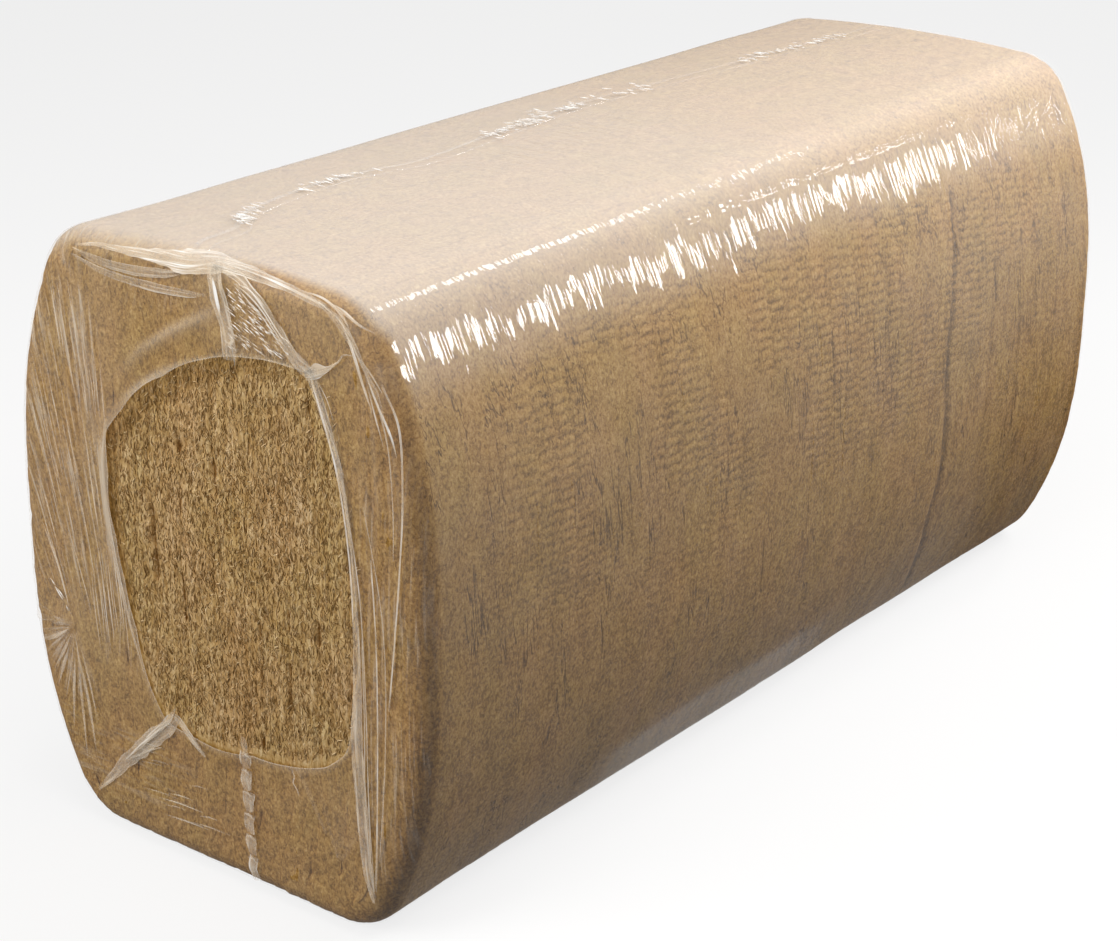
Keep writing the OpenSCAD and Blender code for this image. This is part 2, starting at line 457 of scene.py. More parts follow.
def slab_mesh(number, fine):
    """A closed slab. fine holds the steps for its visible faces; its joints are coarse."""
    skin = Skin()
    long_w = length_steps(8, fine["long"], 6)
    ends = {0: fine["near"], 1: fine["far"]}

    def run(part, v, w):
        part, v, w = np.broadcast_arrays(*(np.asarray(a, float) for a in (part, v, w)))
        return slab_point(number, part.ravel(), v.ravel(), w.ravel())

    corners = {}
    for p, v, e in ((p, v, e) for p in (0, 1) for v in (0, 1) for e in (0, 1)):
        corners[p, v, e] = skin.add(run(p, v, e * W_END))[0]

    def edge(start, end, places, points):
        return np.concatenate([[start], skin.add(points), [end]]), places

    # The twelve shared edges, each with its points' places from 0 to 1
    along, up, thick = {}, {}, {}
    for a, b in ((a, b) for a in (0, 1) for b in (0, 1)):
        inner = run(a, b, long_w[1:-1])
        along[a, b] = edge(corners[a, b, 0], corners[a, b, 1], long_w / W_END, inner)
        n_thick, n_up = ends[b]
        s = spaced(n_up)
        up[a, b] = edge(corners[a, 0, b], corners[a, 1, b], s, run(a, s[1:-1], b * W_END))
        s = spaced(n_thick)
        thick[a, b] = edge(corners[0, a, b], corners[1, a, b], s, run(s[1:-1], a, b * W_END))

    def fill(make, a_inner, b_inner, sides, flip):
        """A face of the slab: a lattice inside, zipped to its four edges."""
        grid_a, grid_b = np.meshgrid(a_inner, b_inner, indexing="ij")
        ids = skin.add(make(grid_a.ravel(), grid_b.ravel())).reshape(len(a_inner), len(b_inner))
        kept = len(skin.faces)
        (low, low_at), (right, right_at), (high, high_at), (left, left_at) = sides
        skin.zip_rows(low, low_at, ids[:, 0], a_inner)
        skin.zip_rows(right, right_at, ids[-1, :], b_inner)
        skin.zip_rows(high[::-1], 1 - high_at[::-1], ids[::-1, -1], 1 - a_inner[::-1])
        skin.zip_rows(left[::-1], 1 - left_at[::-1], ids[0, ::-1], 1 - b_inner[::-1])
        # This winds the edges' triangles against the quads: a known fault
        skin.faces[kept:] = [f[::-1] for f in skin.faces[kept:]]
        skin.quads(ids)
        if flip:
            skin.faces[kept:] = [f[::-1] for f in skin.faces[kept:]]

    for e in (0, 1):
        n_thick, n_up = ends[e]
        sides = (thick[0, e], up[1, e], thick[1, e], up[0, e])
        inner = (spaced(n_thick)[1:-1], spaced(n_up)[1:-1])
        fill(lambda a, b, e=e: run(a, b, e * W_END), *inner, sides, flip=e == 0)
    for v in (0, 1):
        sides = (thick[v, 0], along[1, v], thick[v, 1], along[0, v])
        inner = (spaced(fine["top"])[1:-1], long_w[1:-1] / W_END)
        fill(lambda a, b, v=v: run(a, v, b * W_END), *inner, sides, flip=v == 1)
    joint_w = np.array([0.004, 0.012, 0.03, *np.linspace(0.07, W_END / 2, 12)])
    joint_w = np.concatenate([joint_w, W_END - joint_w[-2::-1]])
    for p in (0, 1):
        outer = (number, p) in ((0, 0), (SLABS - 1, 1))
        sides = (up[p, 0], along[p, 1], up[p, 1], along[p, 0])
        rows = spaced(fine["side"] if outer else 14)[1:-1]
        inner = (rows, (long_w[1:-1] if outer else joint_w) / W_END)
        fill(lambda a, b, p=p: run(p, a, b * W_END), *inner, sides, flip=p == 0)
    return skin.mesh(f"slab_{number + 1:02d}_mesh")


def mark_wool(mesh):
    """Where the wool is bare of film, where it is printed by the belt, and where shade is painted on
    it.
    """
    points = np.empty(len(mesh.vertices) * 3)
    mesh.vertices.foreach_get("co", points)
    points = points.reshape(-1, 3)
    x, y, z = points.T
    past = past_opening(y, z)
    near, far = x < -0.58, x > 0.58
    bare = near * smooth(past, 0.001, -0.002) + far * smooth(past_far_opening(y, z), 0.002, -0.002)
    # Painted shade: the bare wool below the opening's upper left edge is darkened, where the film's
    # edge stands off above it
    shade = near * smooth(np.abs(past + 0.011), 0.014, 0.004)
    shade = shade * smooth(y, -0.12, -0.04) * smooth(z, 0.36, 0.43)
    # Painted shadow: a thin dark band just inside the opening's left edge
    beside = near * smooth(np.abs(past + 0.004), 0.009, 0.003) * smooth(y, 0.08, 0.10)
    shade = np.maximum(shade, beside * smooth(z, 0.22, 0.28) * smooth(z, 0.44, 0.40))
    # Painted shade in the crease down the -Y side, away from the ends
    shade = shade * 0.75 + in_side_crease(points) * smooth(np.abs(x), 0.57, 0.5)
    set_attribute(mesh, "bare", bare)
    set_attribute(mesh, "print", printed(points) * (np.abs(x) < 0.58))
    set_attribute(mesh, "rim", tight_rim(points))
    set_attribute(mesh, "shade", shade)


def make_slabs(material):
    pieces = []
    for number in range(SLABS):
        long_steps = {0: 248, SLABS - 1: 160}.get(number, 120)
        fine = {
            "near": (18, 270),
            "far": (12, 150),
            "top": 8,
            "side": 234 if number == 0 else 100,
            "long": long_steps,
        }
        mesh = slab_mesh(number, fine)
        mark_wool(mesh)
        name = f"slab_{number + 1:02d}"
        piece = place_object(f"wool_{name}", mesh, material)
        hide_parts(name)
        pieces.append(piece)
    return pieces


# ---------------------------------------------------------------- loose fibres on the bare wool


def tube_faces(count, rings):
    """Faces of `count` closed three-sided tubes with pointed ends and so many rings between them."""
    size = 3 * rings + 2
    faces = []
    for c in range(3):
        step = (c + 1) % 3
        faces.append([0, 1 + step, 1 + c])
        for ring in range(rings - 1):
            at = 1 + 3 * ring
            faces.append([at + c, at + step, at + 3 + step, at + 3 + c])
        faces.append([size - 4 + c, size - 4 + step, size - 1])
    starts = np.arange(count) * size
    return [f for face in faces for f in (starts[:, None] + np.array(face)).tolist()]


def end_faces(slabs, end):
    """The slabs' faces at one end (-1 near, 1 far), as a tree that rays can be cast at."""
    points, faces = [], []
    for piece in slabs:
        mesh = piece.data
        centers = np.empty(len(mesh.polygons) * 3)
        mesh.polygons.foreach_get("center", centers)
        kept = np.flatnonzero(end * centers[::3] > HALF_L - 0.012)
        faces += [[len(points) + v for v in mesh.polygons[k].vertices] for k in kept.tolist()]
        points += [v.co.copy() for v in mesh.vertices]
    return BVHTree.FromPolygons(points, faces)


def bare_surface(tree, end, y, z):
    """X of the wool's surface at one end."""
    x = np.full(y.size, end * (HALF_L - 0.003))
    for k, (a, b) in enumerate(zip(y.ravel().tolist(), z.ravel().tolist())):
        hit = tree.ray_cast((end * (HALF_L + 0.05), a, b), (-end, 0, 0))[0]
        if hit is not None:
            x[k] = hit[0]
    return x.reshape(y.shape)


def make_fibres(name, count, end, seed, slabs, material):
    """Loose strands lying on the bare wool of one end (-1 near, 1 far), most of them upright."""
    rng = np.random.default_rng(seed)
    y = rng.uniform(-0.19, 0.135, count * 2)
    z = rng.uniform(0.13, 0.54, count * 2)
    keep = (past_opening(y, z) if end < 0 else past_far_opening(y, z)) < -0.002
    y, z = y[keep][:count], z[keep][:count]
    n = len(y)
    length = rng.uniform(0.003, 0.010, n)
    width = rng.uniform(0.00022, 0.00046, n)
    lean = rng.normal(0, 0.26, n) + rng.choice([0, 0, 0, 0, 0, 0, 0.8, -0.8], n)
    curl = rng.normal(0, 55, n)
    rise = rng.uniform(0.0, 0.30, n)
    steps = 4
    s = np.linspace(0, 1, steps)
    heading = lean[:, None] + curl[:, None] * length[:, None] * (s - 0.5)
    step = length[:, None] / (steps - 1)
    dy = np.cumsum(np.sin(heading) * step, 1)
    dz = np.cumsum(np.cos(heading) * step, 1)
    out = 0.0001 + rise[:, None] * length[:, None] * 0.45 * np.sin(math.pi * s) - 0.0008 * (s < 0.1)
    dy, dz = y[:, None] + dy, z[:, None] + dz
    path = np.stack([bare_surface(end_faces(slabs, end), end, dy, dz) + end * out, dy, dz], 2)
    thick = width[:, None] * np.array([0.0, 1, 0.9, 0.0])
    points = []
    for k in range(steps):
        for c in range(1 if k in (0, steps - 1) else 3):
            turn = 2 * math.pi * c / 3
            off_x = np.full(n, end * math.sin(turn))
            off_y = math.cos(turn) * np.cos(heading[:, k])
            off_z = -math.cos(turn) * np.sin(heading[:, k])
            points.append(path[:, k] + thick[:, k : k + 1] * np.stack([off_x, off_y, off_z], 1))
    points = np.stack(points, 1)
    skin = Skin()
    skin.add(points.reshape(-1, 3))
    skin.faces = tube_faces(n, steps - 2)
    if end > 0:
        skin.faces = [f[::-1] for f in skin.faces]
    mesh = skin.mesh(name)
    set_attribute(mesh, "tone", np.repeat(rng.uniform(0, 1, n), points.shape[1]))
    return place_object(name, mesh, material)


# ---------------------------------------------------------------- relief of the film

# Soft folds in the film over the near end: (points, half width, height, haze)
FOLDS = [
    ([(-0.057, 0.572), (-0.009, 0.545), (0.028, 0.525), (0.067, 0.500), (0.100, 0.470)],
     0.0055, 0.0035, 0.22),
    ([(-0.011, 0.506), (0.038, 0.486), (0.070, 0.464), (0.108, 0.436)],
     0.006, 0.0030, 0.20),
    ([(0.116, 0.430), (0.127, 0.390), (0.127, 0.350), (0.123, 0.300), (0.115, 0.250)],
     0.0045, 0.0030, 0.30),
    ([(-0.218, 0.537), (-0.231, 0.498), (-0.232, 0.438), (-0.229, 0.384), (-0.222, 0.310)],
     0.003, 0.0025, 0.03),
    ([(-0.198, 0.376), (-0.201, 0.304), (-0.201, 0.229), (-0.199, 0.152), (-0.192, 0.061)],
     0.003, 0.0025, 0.03),
    ([(0.150, 0.575), (0.146, 0.500), (0.135, 0.420), (0.130, 0.330)],
     0.005, 0.0022, 0.05),
    ([(-0.182, 0.480), (-0.192, 0.400), (-0.197, 0.320)],
     0.006, 0.0018, 0.04),
]

# Centres that fine straight creases run out from:
# (y, z, first angle, last angle in degrees, number, length, height)
FANS = [
    (0.160, 0.560, 252, 268, 7, 0.34, 0.0016),
    (*STAR, -108, 6, 10, 0.10, 0.0048),
    (-0.196, 0.560, 235, 275, 6, 0.22, 0.0014),
    (-0.150, 0.070, 60, 120, 7, 0.16, 0.0014),
]

# What the film's material reads at each point: its milkiness, its places across and along the fine
# lines in it, their strength, and how strongly it ripples
FILM_NOTES = ("haze", "flow", "lines", "ripple")


def near_relief(y, z):
    """(height, haze) of the film's folds over the near end."""
    height = np.zeros(len(y))
    haze = np.zeros(len(y))
    for points, half, rise, milk in FOLDS:
        d, place = polyline_distance(y, z, points)
        fold = np.exp(-((d / half) ** 2)) * np.sin(math.pi * np.clip(place, 0.06, 0.94))
        height += rise * fold
        haze += milk * fold
    rng = np.random.default_rng(21)
    for cy, cz, first, last, number, length, rise in FANS:
        for degrees in np.linspace(first, last, number):
            a = math.radians(degrees + rng.uniform(-3, 3))
            far = length * rng.uniform(0.5, 1.1)
            start = far * rng.uniform(0.04, 0.2)
            ends = [(cy + r * math.cos(a), cz + r * math.sin(a)) for r in (start, far)]
            d, place = polyline_distance(y, z, ends)
            half = 0.0016 + 0.0045 * place
            fold = np.exp(-((d / half) ** 2)) * (1 - place) * rng.uniform(0.5, 1)
            height += rise * fold
            haze += 0.10 * fold
    return height, haze


def near_haze(y, z):
    """Milkiness of the film over the near end: most to the left of the opening, least below it."""
    left = smooth(y, 0.06, 0.13) * smooth(z, 0.12, 0.22)
    above = smooth(z, 0.50, 0.54) * smooth(y, 0.02, -0.03)
    return 0.02 + 0.06 * left + 0.05 * above


def fan_lines(y, z, middle, spread):
    """Places across and along straight lines that run out from a middle, spaced as at `spread`."""
    dy, dz = y - middle[0], z - middle[1]
    return np.arctan2(dz, dy) * spread, np.hypot(dy, dz)


def near_lines(y, z):
    """The fine parallel creases over the near end: places across and along them, and strength."""
    inset = HALF_W + BULGE - np.abs(y)
    turn = math.radians(-18)
    diagonal = (
        (-math.sin(turn) * y + math.cos(turn) * z) * 0.8,
        (math.cos(turn) * y + math.sin(turn) * z) * 9,
    )
    strip_at, strip_along = fan_lines(y, z, (0.085, -0.10), 0.26)
    star_reach = np.hypot(y - STAR[0], z - STAR[1])
    star_angle = np.degrees(np.arctan2(z - STAR[1], y - STAR[0]))
    near_star = smooth(star_reach, 0.085, 0.06)
    near_star = near_star * smooth(star_angle, 22, 4) * smooth(star_angle, -118, -104)
    between = smooth(np.abs(y - 0.115), 0.03, 0.02) * smooth(z, 0.27, 0.24) * smooth(z, 0.17, 0.20)
    right = smooth(y, -0.168, -0.185) * smooth(z, 0.02, 0.08) * smooth(z, 0.5, 0.4)
    below = smooth(y, 0.02, 0.06) * smooth(z, 0.125, 0.10) * smooth(z, 0.03, 0.06)
    above = smooth(z, 0.52, 0.56) * smooth(y, -0.02, 0.02) * smooth(y, 0.14, 0.11)
    zones = [
        # The left strip: long lines from its upper corner that close in downwards
        ((strip_at, strip_along), 0.85 * smooth(y, 0.115, 0.14) * smooth(z, 0.20, 0.27)),
        # The star at the left rim, beside the opening's lower left corner
        (fan_lines(y, z, STAR, 0.028), 0.8 * near_star),
        # Upright lines between the star and the opening
        ((y * 0.55 + 0.05 * z, z + 5), 0.6 * between),
        # The strip right of the opening
        ((inset * 0.6 + 0.012 * z, z + 3), 0.6 * right),
        # The crumpled patch between the hanging tab and the fold to the knot
        (diagonal, 0.4 * smooth(np.hypot((y + 0.072) / 1.1, z - 0.545), 0.036, 0.026)),
        # Below the opening, level creases from the flame-shaped fold
        ((z * 0.5, y + 5), 0.45 * below),
        # Above the opening's left, down from the fold along the rim
        ((y * 0.5 + 0.12 * z, z * 3 + 7), 0.3 * above),
    ]
    strengths = np.array([zone[1] for zone in zones])
    best = strengths.argmax(0)
    ranked = np.sort(strengths, axis=0)
    across_at = np.choose(best, [zone[0][0] for zone in zones])
    along_at = np.choose(best, [zone[0][1] for zone in zones])
    return np.stack([across_at, along_at, best * 2.0], 1), np.maximum(ranked[-1] - 1.5 * ranked[-2], 0)


def tight_rim(points):
    """1 round the near end's rim, where the film lies so tight that only the wool shows."""
    x, y, z = points.T
    on_top = smooth(z, 0.555, 0.575)
    rim = smooth(x, -0.570, -0.584) * (1 - on_top) + 0.9 * smooth(x, -0.579, -0.590) * on_top
    return rim * (1 - on_top * smooth(y, -0.07, -0.02)) * smooth(x, -0.601, -0.594)


def body_haze(points):
    """Milkiness of the film along the pack: least low on the sides, most on top. Partly painted light:
    it grows up the sides, over the far half and on top, which makes them paler as where more light
    falls.
    """
    x, y, z = points.T
    up = 0.035 * smooth(z, 0.16, 0.45) + 0.11 * smooth(z, 0.492, 0.540)
    on_top = 0.06 * smooth(z, 0.540, 0.597) * (1 - 0.9 * smooth(x, -0.3, 0.55))
    far = 0.08 * smooth(x, -0.2, 0.5) * smooth(z, 0.2, 0.45) * smooth(z, 0.56, 0.50)
    bridge = smooth(np.abs(z - 0.050), 0.036, 0.022) * smooth(x, -0.34, -0.24) * smooth(x, 0.12, 0.02)
    return (0.018 + up + on_top + far + 0.15 * bridge * (y < 0)) * (1 - 0.9 * tight_rim(points))


def film_height(points):
    """How far outside the CAD's wool the film lies, apart from folds of its own."""
    return -0.95 * undulation(points) + 0.0001


def body_relief(points, w):
    """Wrinkles of the tight film along the pack, and across its rims."""
    to_rim = np.minimum(w, W_END - w)
    near_rim = np.exp(-np.maximum(to_rim - RIM_ARC, 0) / 0.04)
    over_rim = noise(points, (0.30, 0.013, 0.013), 14)
    girth = noise(points, (0.0125, 0.07, 0.06), 17)
    on_side = smooth(np.abs(points[:, 1]), 0.17, 0.20)
    return 0.0008 * near_rim * over_rim + 0.0003 * girth * (1 - near_rim) * on_side


def film_point(place, w, spot=None):
    """How far the film's points stand out from the wool's, and what FILM_NOTES says of them.

    place runs 0 to 4 round the section and w along the pack. spot holds the (y, z) of points
    on an end's flat, and then w is -1 for the near end and 1 for the far one.
    """
    count = len(place)
    if spot is None:
        x, inset = station(np.full(count, w), 0.0)
        y, z = outline(place, inset)
    else:
        y, z = spot
        x = np.full(count, w * HALF_L)
    base = np.stack([x, y, z], 1)
    out = film_height(base)
    at_near_end = smooth(-x, RIM_X, HALF_L)
    end_height, end_haze = near_relief(y, z)
    flow, strength = near_lines(y, z)
    out = out + end_height * at_near_end
    if spot is None:
        out = out + body_relief(base, w)
    # The milkiness of the top runs on right up to the rim
    past_rim = np.maximum(smooth(-x, 0.594, 0.5995), at_near_end * smooth(z, 0.58, 0.55))
    haze = body_haze(base) * (1 - past_rim) + (near_haze(y, z) + end_haze) * at_near_end
    # Along the near half's upper edges the film is taut, and farther along it is wrinkled
    upper = smooth(z, 0.562, 0.574)
    along = 0.8 * smooth(x, -0.25, -0.1) - 0.42 * smooth(x, -0.18, -0.30)
    ripple = 1 + along * upper * (1 - at_near_end) + smooth(x, 0.30, 0.42)
    return out, haze, flow, strength * at_near_end, ripple


def outline_place(count, turning):
    """Places round the pack's outline. `turning` is the share of them spent on its corners."""
    dense = np.linspace(0, 4, 3201)
    y, z = outline(dense, 0.0)
    dy, dz = np.diff(y), np.diff(z)
    length = np.hypot(dy, dz)
    heading = np.unwrap(np.arctan2(dz, dy))
    turned = np.abs(np.diff(heading, prepend=heading[0]))
    weight = (1 - turning) * length / length.sum() + turning * turned / turned.sum()
    run = np.concatenate([[0], np.cumsum(weight)])
    return np.interp(np.linspace(0, 1, count + 1)[:-1], run, dense)


def opening_edge(place, end):
    """(y, z) where the outline's points at `place` lie, taken in to the opening's edge."""
    y, z = outline(place, END_R)
    if end < 0:
        _, angle = opening_polar(y, z)
        reach = opening_radius(angle)
        return y, z, OPENING_MID[0] + reach * np.cos(angle), OPENING_MID[1] + reach * np.sin(angle)
    dy, dz = y - FAR_MID[0], z - FAR_MID[1]
    scale = 1 / (past_far_opening(y, z) / FAR_HALF[0] + 1)
    return y, z, FAR_MID[0] + dy * scale, FAR_MID[1] + dz * scale


def film_ring(place, w):
    """A ring of the sleeve at length w along it."""
    out, *notes = film_point(place, w)
    x, inset = station(np.full(len(place), w), out)
    y, z = outline(place, inset)
    return np.stack([x, y, np.maximum(z, 0.0001)], 1), *notes


def lap_ring(place, end, share):
    """A ring of the lap over one end, at share 0 to 1 from the rim to the opening."""
    y0, z0, y1, z1 = opening_edge(place, end)
    y, z = y0 + (y1 - y0) * share, z0 + (z1 - z0) * share
    out, haze, *notes = film_point(place, end, (y, z))
    if end < 0:
        # The film stands off the wool along the opening's upper edge
        out = out + 0.005 * smooth(share, 0.35, 1.0) * smooth(z, 0.36, 0.52) * smooth(y, 0.12, -0.02)
    out = out + 0.0012 * smooth(share, 0.9, 1.0)
    haze = haze + 0.12 * smooth(share, 0.93, 1.0)
    return np.stack([end * (HALF_L + out), y, z], 1), haze, *notes


def film_mesh():
    skin = Skin()
    notes = [[] for _ in FILM_NOTES]

    def add(ring):
        for kept, values in zip(notes, ring[1:]):
            kept.append(values)
        return skin.add(ring[0])

    def closed(rings):
        ids = np.stack(rings)
        skin.quads(np.concatenate([ids, ids[:, :1]], 1))

    fine, coarse = outline_place(700, 0.12), outline_place(172, 0.5)
    near = [add(lap_ring(fine, -1, s)) for s in np.linspace(1, 0, 46)[:-1]]
    near += [add(film_ring(fine, w)) for w in RIM_ARC * np.linspace(0, 1, 10)]
    closed(near)
    far_w = W_END - RIM_ARC * np.linspace(1, 0, 8)[1:]
    body = [add(film_ring(coarse, w)) for w in [*(RIM_ARC + np.linspace(0, BODY_L, 321)[1:]), *far_w]]
    body += [add(lap_ring(coarse, 1, s)) for s in np.linspace(0, 1, 14)[1:]]
    closed(body)
    kept = len(skin.faces)
    # The near part's last ring is finer than the body's first
    ends = ((near[-1], fine), (body[0], coarse))
    ends = [(np.append(ids, ids[0]), np.append(at, at[0] + 4)) for ids, at in ends]
    skin.zip_rows(*ends[0], *ends[1])
    skin.faces[kept:] = [f[::-1] for f in skin.faces[kept:]]
    mesh = skin.mesh("film_sleeve_mesh")
    for name, values in zip(FILM_NOTES, notes):
        set_attribute(mesh, name, np.concatenate(values))
    return mesh


# ---------------------------------------------------------------- folds, creases and weld seams


def smooth_line(points, step):
    """A smooth line through rows of numbers, the first three of them a point, about every step."""
    points = np.asarray(points, float)
    padded = np.concatenate([[2 * points[0] - points[1]], points, [2 * points[-1] - points[-2]]])
    line = []
    for k in range(len(points) - 1):
        p0, p1, p2, p3 = padded[k : k + 4]
        count = max(2, int(np.linalg.norm((p2 - p1)[:3]) / step))
        t = np.linspace(0, 1, count, endpoint=False)[:, None]
        line.append(0.5 * (2 * p1 + (p2 - p0) * t + (2 * p0 - 5 * p1 + 4 * p2 - p3) * t**2
                           + (3 * p1 - p0 - 3 * p2 + p3) * t**3))
    return np.concatenate([*line, points[-1:]])


class Strips:
    """Doubled-over strips of film, each a thin flat closed tube, gathered in one mesh."""

    def __init__(self):
        self.skin = Skin()
        self.notes = [[] for _ in FILM_NOTES]

    def add(self, points, widths, normals, haze=0.1, lines=0.4, seed=1, thick=0.0008, crumple=0.0006,
            ragged=0.3, crosswise=False, edge_haze=0.12):
        """A strip along a line of points.

        haze is its milkiness and edge_haze what its edges have more, lines the strength of the
        fine lines along it (or across it, crosswise), crumple the height of its wrinkles and
        ragged how much its width strays.
        """
        widths = np.broadcast_to(np.asarray(widths, float).reshape(-1, 1), (len(points), 1))
        step = 0.0022
        line = smooth_line(np.concatenate([points, widths, normals], 1), step)
        centre, width, normal = line[:, :3], np.maximum(line[:, 3], 0.0005), line[:, 4:]
        normal = normal / np.linalg.norm(normal, axis=1, keepdims=True)
        tangent = np.gradient(centre, axis=0)
        side_way = np.cross(tangent, normal)
        side_way /= np.linalg.norm(side_way, axis=1, keepdims=True)
        run = np.arange(len(centre)) * step
        columns = 3 if width.max() < 0.0018 else 5 if width.max() < 0.003 else 9
        inner = np.linspace(-1, 1, columns)
        inner = np.concatenate([inner, inner[-2:0:-1]])
        layer = np.repeat([1.0, -1.0], [columns, columns - 2])
        spot = np.stack(np.broadcast_arrays(run[:, None], inner * 0.004, seed * 1.0), -1).reshape(-1, 3)
        wave = noise(spot, (0.010, 0.0022, 1), seed).reshape(len(run), -1) - 0.5
        edge = noise(spot * [1, 100, 1], (0.009, 1, 1), seed + 3).reshape(len(run), -1) - 0.5
        crumple = crumple * wave * np.minimum(width / 0.004, 1)[:, None]
        lift = layer * thick / 2 * (1 - inner**4) + crumple
        spread = inner * (1 + ragged * edge) * width[:, None] / 2
        ring = centre[:, None] + side_way[:, None] * spread[..., None]
        ring = ring + normal[:, None] * lift[..., None]
        # All of a strip's faces look inwards: a known fault
        ids = self.skin.add(ring).reshape(len(run), -1)
        self.skin.quads(np.concatenate([ids, ids[:, :1]], 1))
        spot = np.stack([run, run * 0, run * 0 + seed], 1)
        fade = 0.35 + 1.1 * noise(spot, (0.018, 1, 1), seed + 5)
        fade = fade * smooth(np.minimum(run, run[-1] - run), -0.004, 0.02)
        milk = (haze + edge_haze * inner**6) * fade[:, None]
        flow = np.stack(np.broadcast_arrays(spread, run[:, None], seed * 3.0), -1)
        if crosswise:
            flow = flow[..., [1, 0, 2]]
        strength = np.full(spread.shape, float(lines))
        values_at = (milk.ravel(), flow.reshape(-1, 3), strength.ravel(), np.ones(strength.size))
        for kept, values in zip(self.notes, values_at):
            kept.append(values)
        for row, k, back in ((ids[0], 0, True), (ids[-1], -1, False)):
            middle = int(self.skin.add(ring[k].mean(0))[0])
            for kept, values in zip(self.notes, (milk[k, :1], flow[k, :1], strength[k, :1], [1.0])):
                kept.append(values)
            for a, b in zip(row.tolist(), np.roll(row, -1).tolist()):
                self.skin.faces.append([b, a, middle] if not back else [a, b, middle])

    def on_near(self, points, widths, stand=0.0012, **more):
        """A strip over the near end, from (y, z) in millimetres."""
        placed, normals = on_end(np.array(points) / 1000, stand)
        self.add(placed, np.asarray(widths, float) / 1000, normals, **more)

    def piece(self, name, material):
        mesh = self.skin.mesh(name)
        for key, values in zip(FILM_NOTES, self.notes):
            set_attribute(mesh, key, np.concatenate(values))
        return place_object(name, mesh, material)


def fold_along_rim(material):
    strips = Strips()
    strips.on_near(
        [(146, 578), (120, 583), (92, 584), (60, 586), (30, 587), (8, 588), (-18, 592), (-48, 592),
         (-83, 590), (-118, 586), (-148, 581)],
        [2, 4, 6, 10, 16, 22, 20, 13, 9, 7, 5], haze=0.30, lines=1.2, seed=2,
        crumple=0.0014, ragged=0.5,
    )
    # Its frayed end, which runs down the right side in strands
    strips.on_near(
        [(-140, 583), (-156, 577), (-169, 568), (-180, 556), (-190, 540), (-202, 520), (-212, 495)],
        [4, 6, 7, 6, 5, 4, 1], haze=0.08, lines=1.2, seed=12, crumple=0.0016, ragged=0.8,
    )
    for points, widths, haze, seed in (
        ([(-168, 571), (-180, 552), (-190, 528), (-200, 505)], [1.5, 2.5, 2.5, 1], 0.40, 13),
        ([(-150, 584), (-165, 580), (-180, 572), (-192, 566)], [2, 3, 2, 1], 0.25, 14),
        ([(-186, 548), (-197, 535), (-206, 522)], [1, 1.6, 0.7], 0.35, 17),
        ([(-192, 536), (-204, 512), (-216, 488), (-222, 470)], [1, 1.8, 1.8, 0.7], 0.45, 18),
        ([(-194, 528), (-203, 502), (-212, 476)], [0.8, 1.4, 0.7], 0.40, 19),
        ([(-120, 588), (-145, 586), (-166, 577), (-176, 566)], [1, 1.8, 2.2, 1], 0.40, 20),
    ):
        strips.on_near(points, widths, haze=haze, lines=0.6, seed=seed, stand=0.0022)
    # Two thin folds that part from the upper left corner and run into the wide one
    strips.on_near([(148, 575), (120, 571), (80, 570), (40, 574), (10, 580)], [2, 7, 9, 8, 3],
                   haze=0.10, lines=0.9, seed=15, edge_haze=0.22)
    strips.on_near([(150, 570), (110, 562), (60, 560), (10, 562), (-15, 566)], [2, 6, 8, 7, 2],
                   haze=0.06, lines=0.9, seed=16, edge_haze=0.20)
    return strips.piece("film_fold_rim", material)


def fold_to_knot(material):
    strips = Strips()
    strips.on_near(
        [(-20, 590), (-48, 588), (-66, 581), (-79, 574), (-93, 560), (-107, 543), (-120, 530),
         (-134, 523)],
        [3, 9, 8, 8, 9, 12, 15, 11], haze=0.20, lines=1.1, seed=3, stand=0.0024, crumple=0.0018,
    )
    # The torn flap at the knot, and the thin loose edges beside the fold
    strips.on_near(
        [(-128, 522), (-137, 525), (-146, 529), (-155, 533), (-166, 541), (-172, 548), (-182, 549)],
        [12, 14, 9, 4, 2, 1.5, 0.8], haze=0.38, lines=0.9, seed=4, stand=0.0035, thick=0.0016,
        crumple=0.0024, ragged=0.9,
    )
    for shift, haze, seed in ((-4, 0.5, 9), (1, 0.4, 5), (5, 0.5, 6)):
        strips.on_near(
            [(-50, 582), (-68, 575 + shift), (-84, 564 + shift), (-98, 549 + shift),
             (-110, 538 + shift)],
            [0.8, 1.5, 1.5, 1.3, 0.8], haze=haze, lines=0.2, seed=seed, stand=0.0036,
        )
    return strips.piece("film_fold_knot", material)


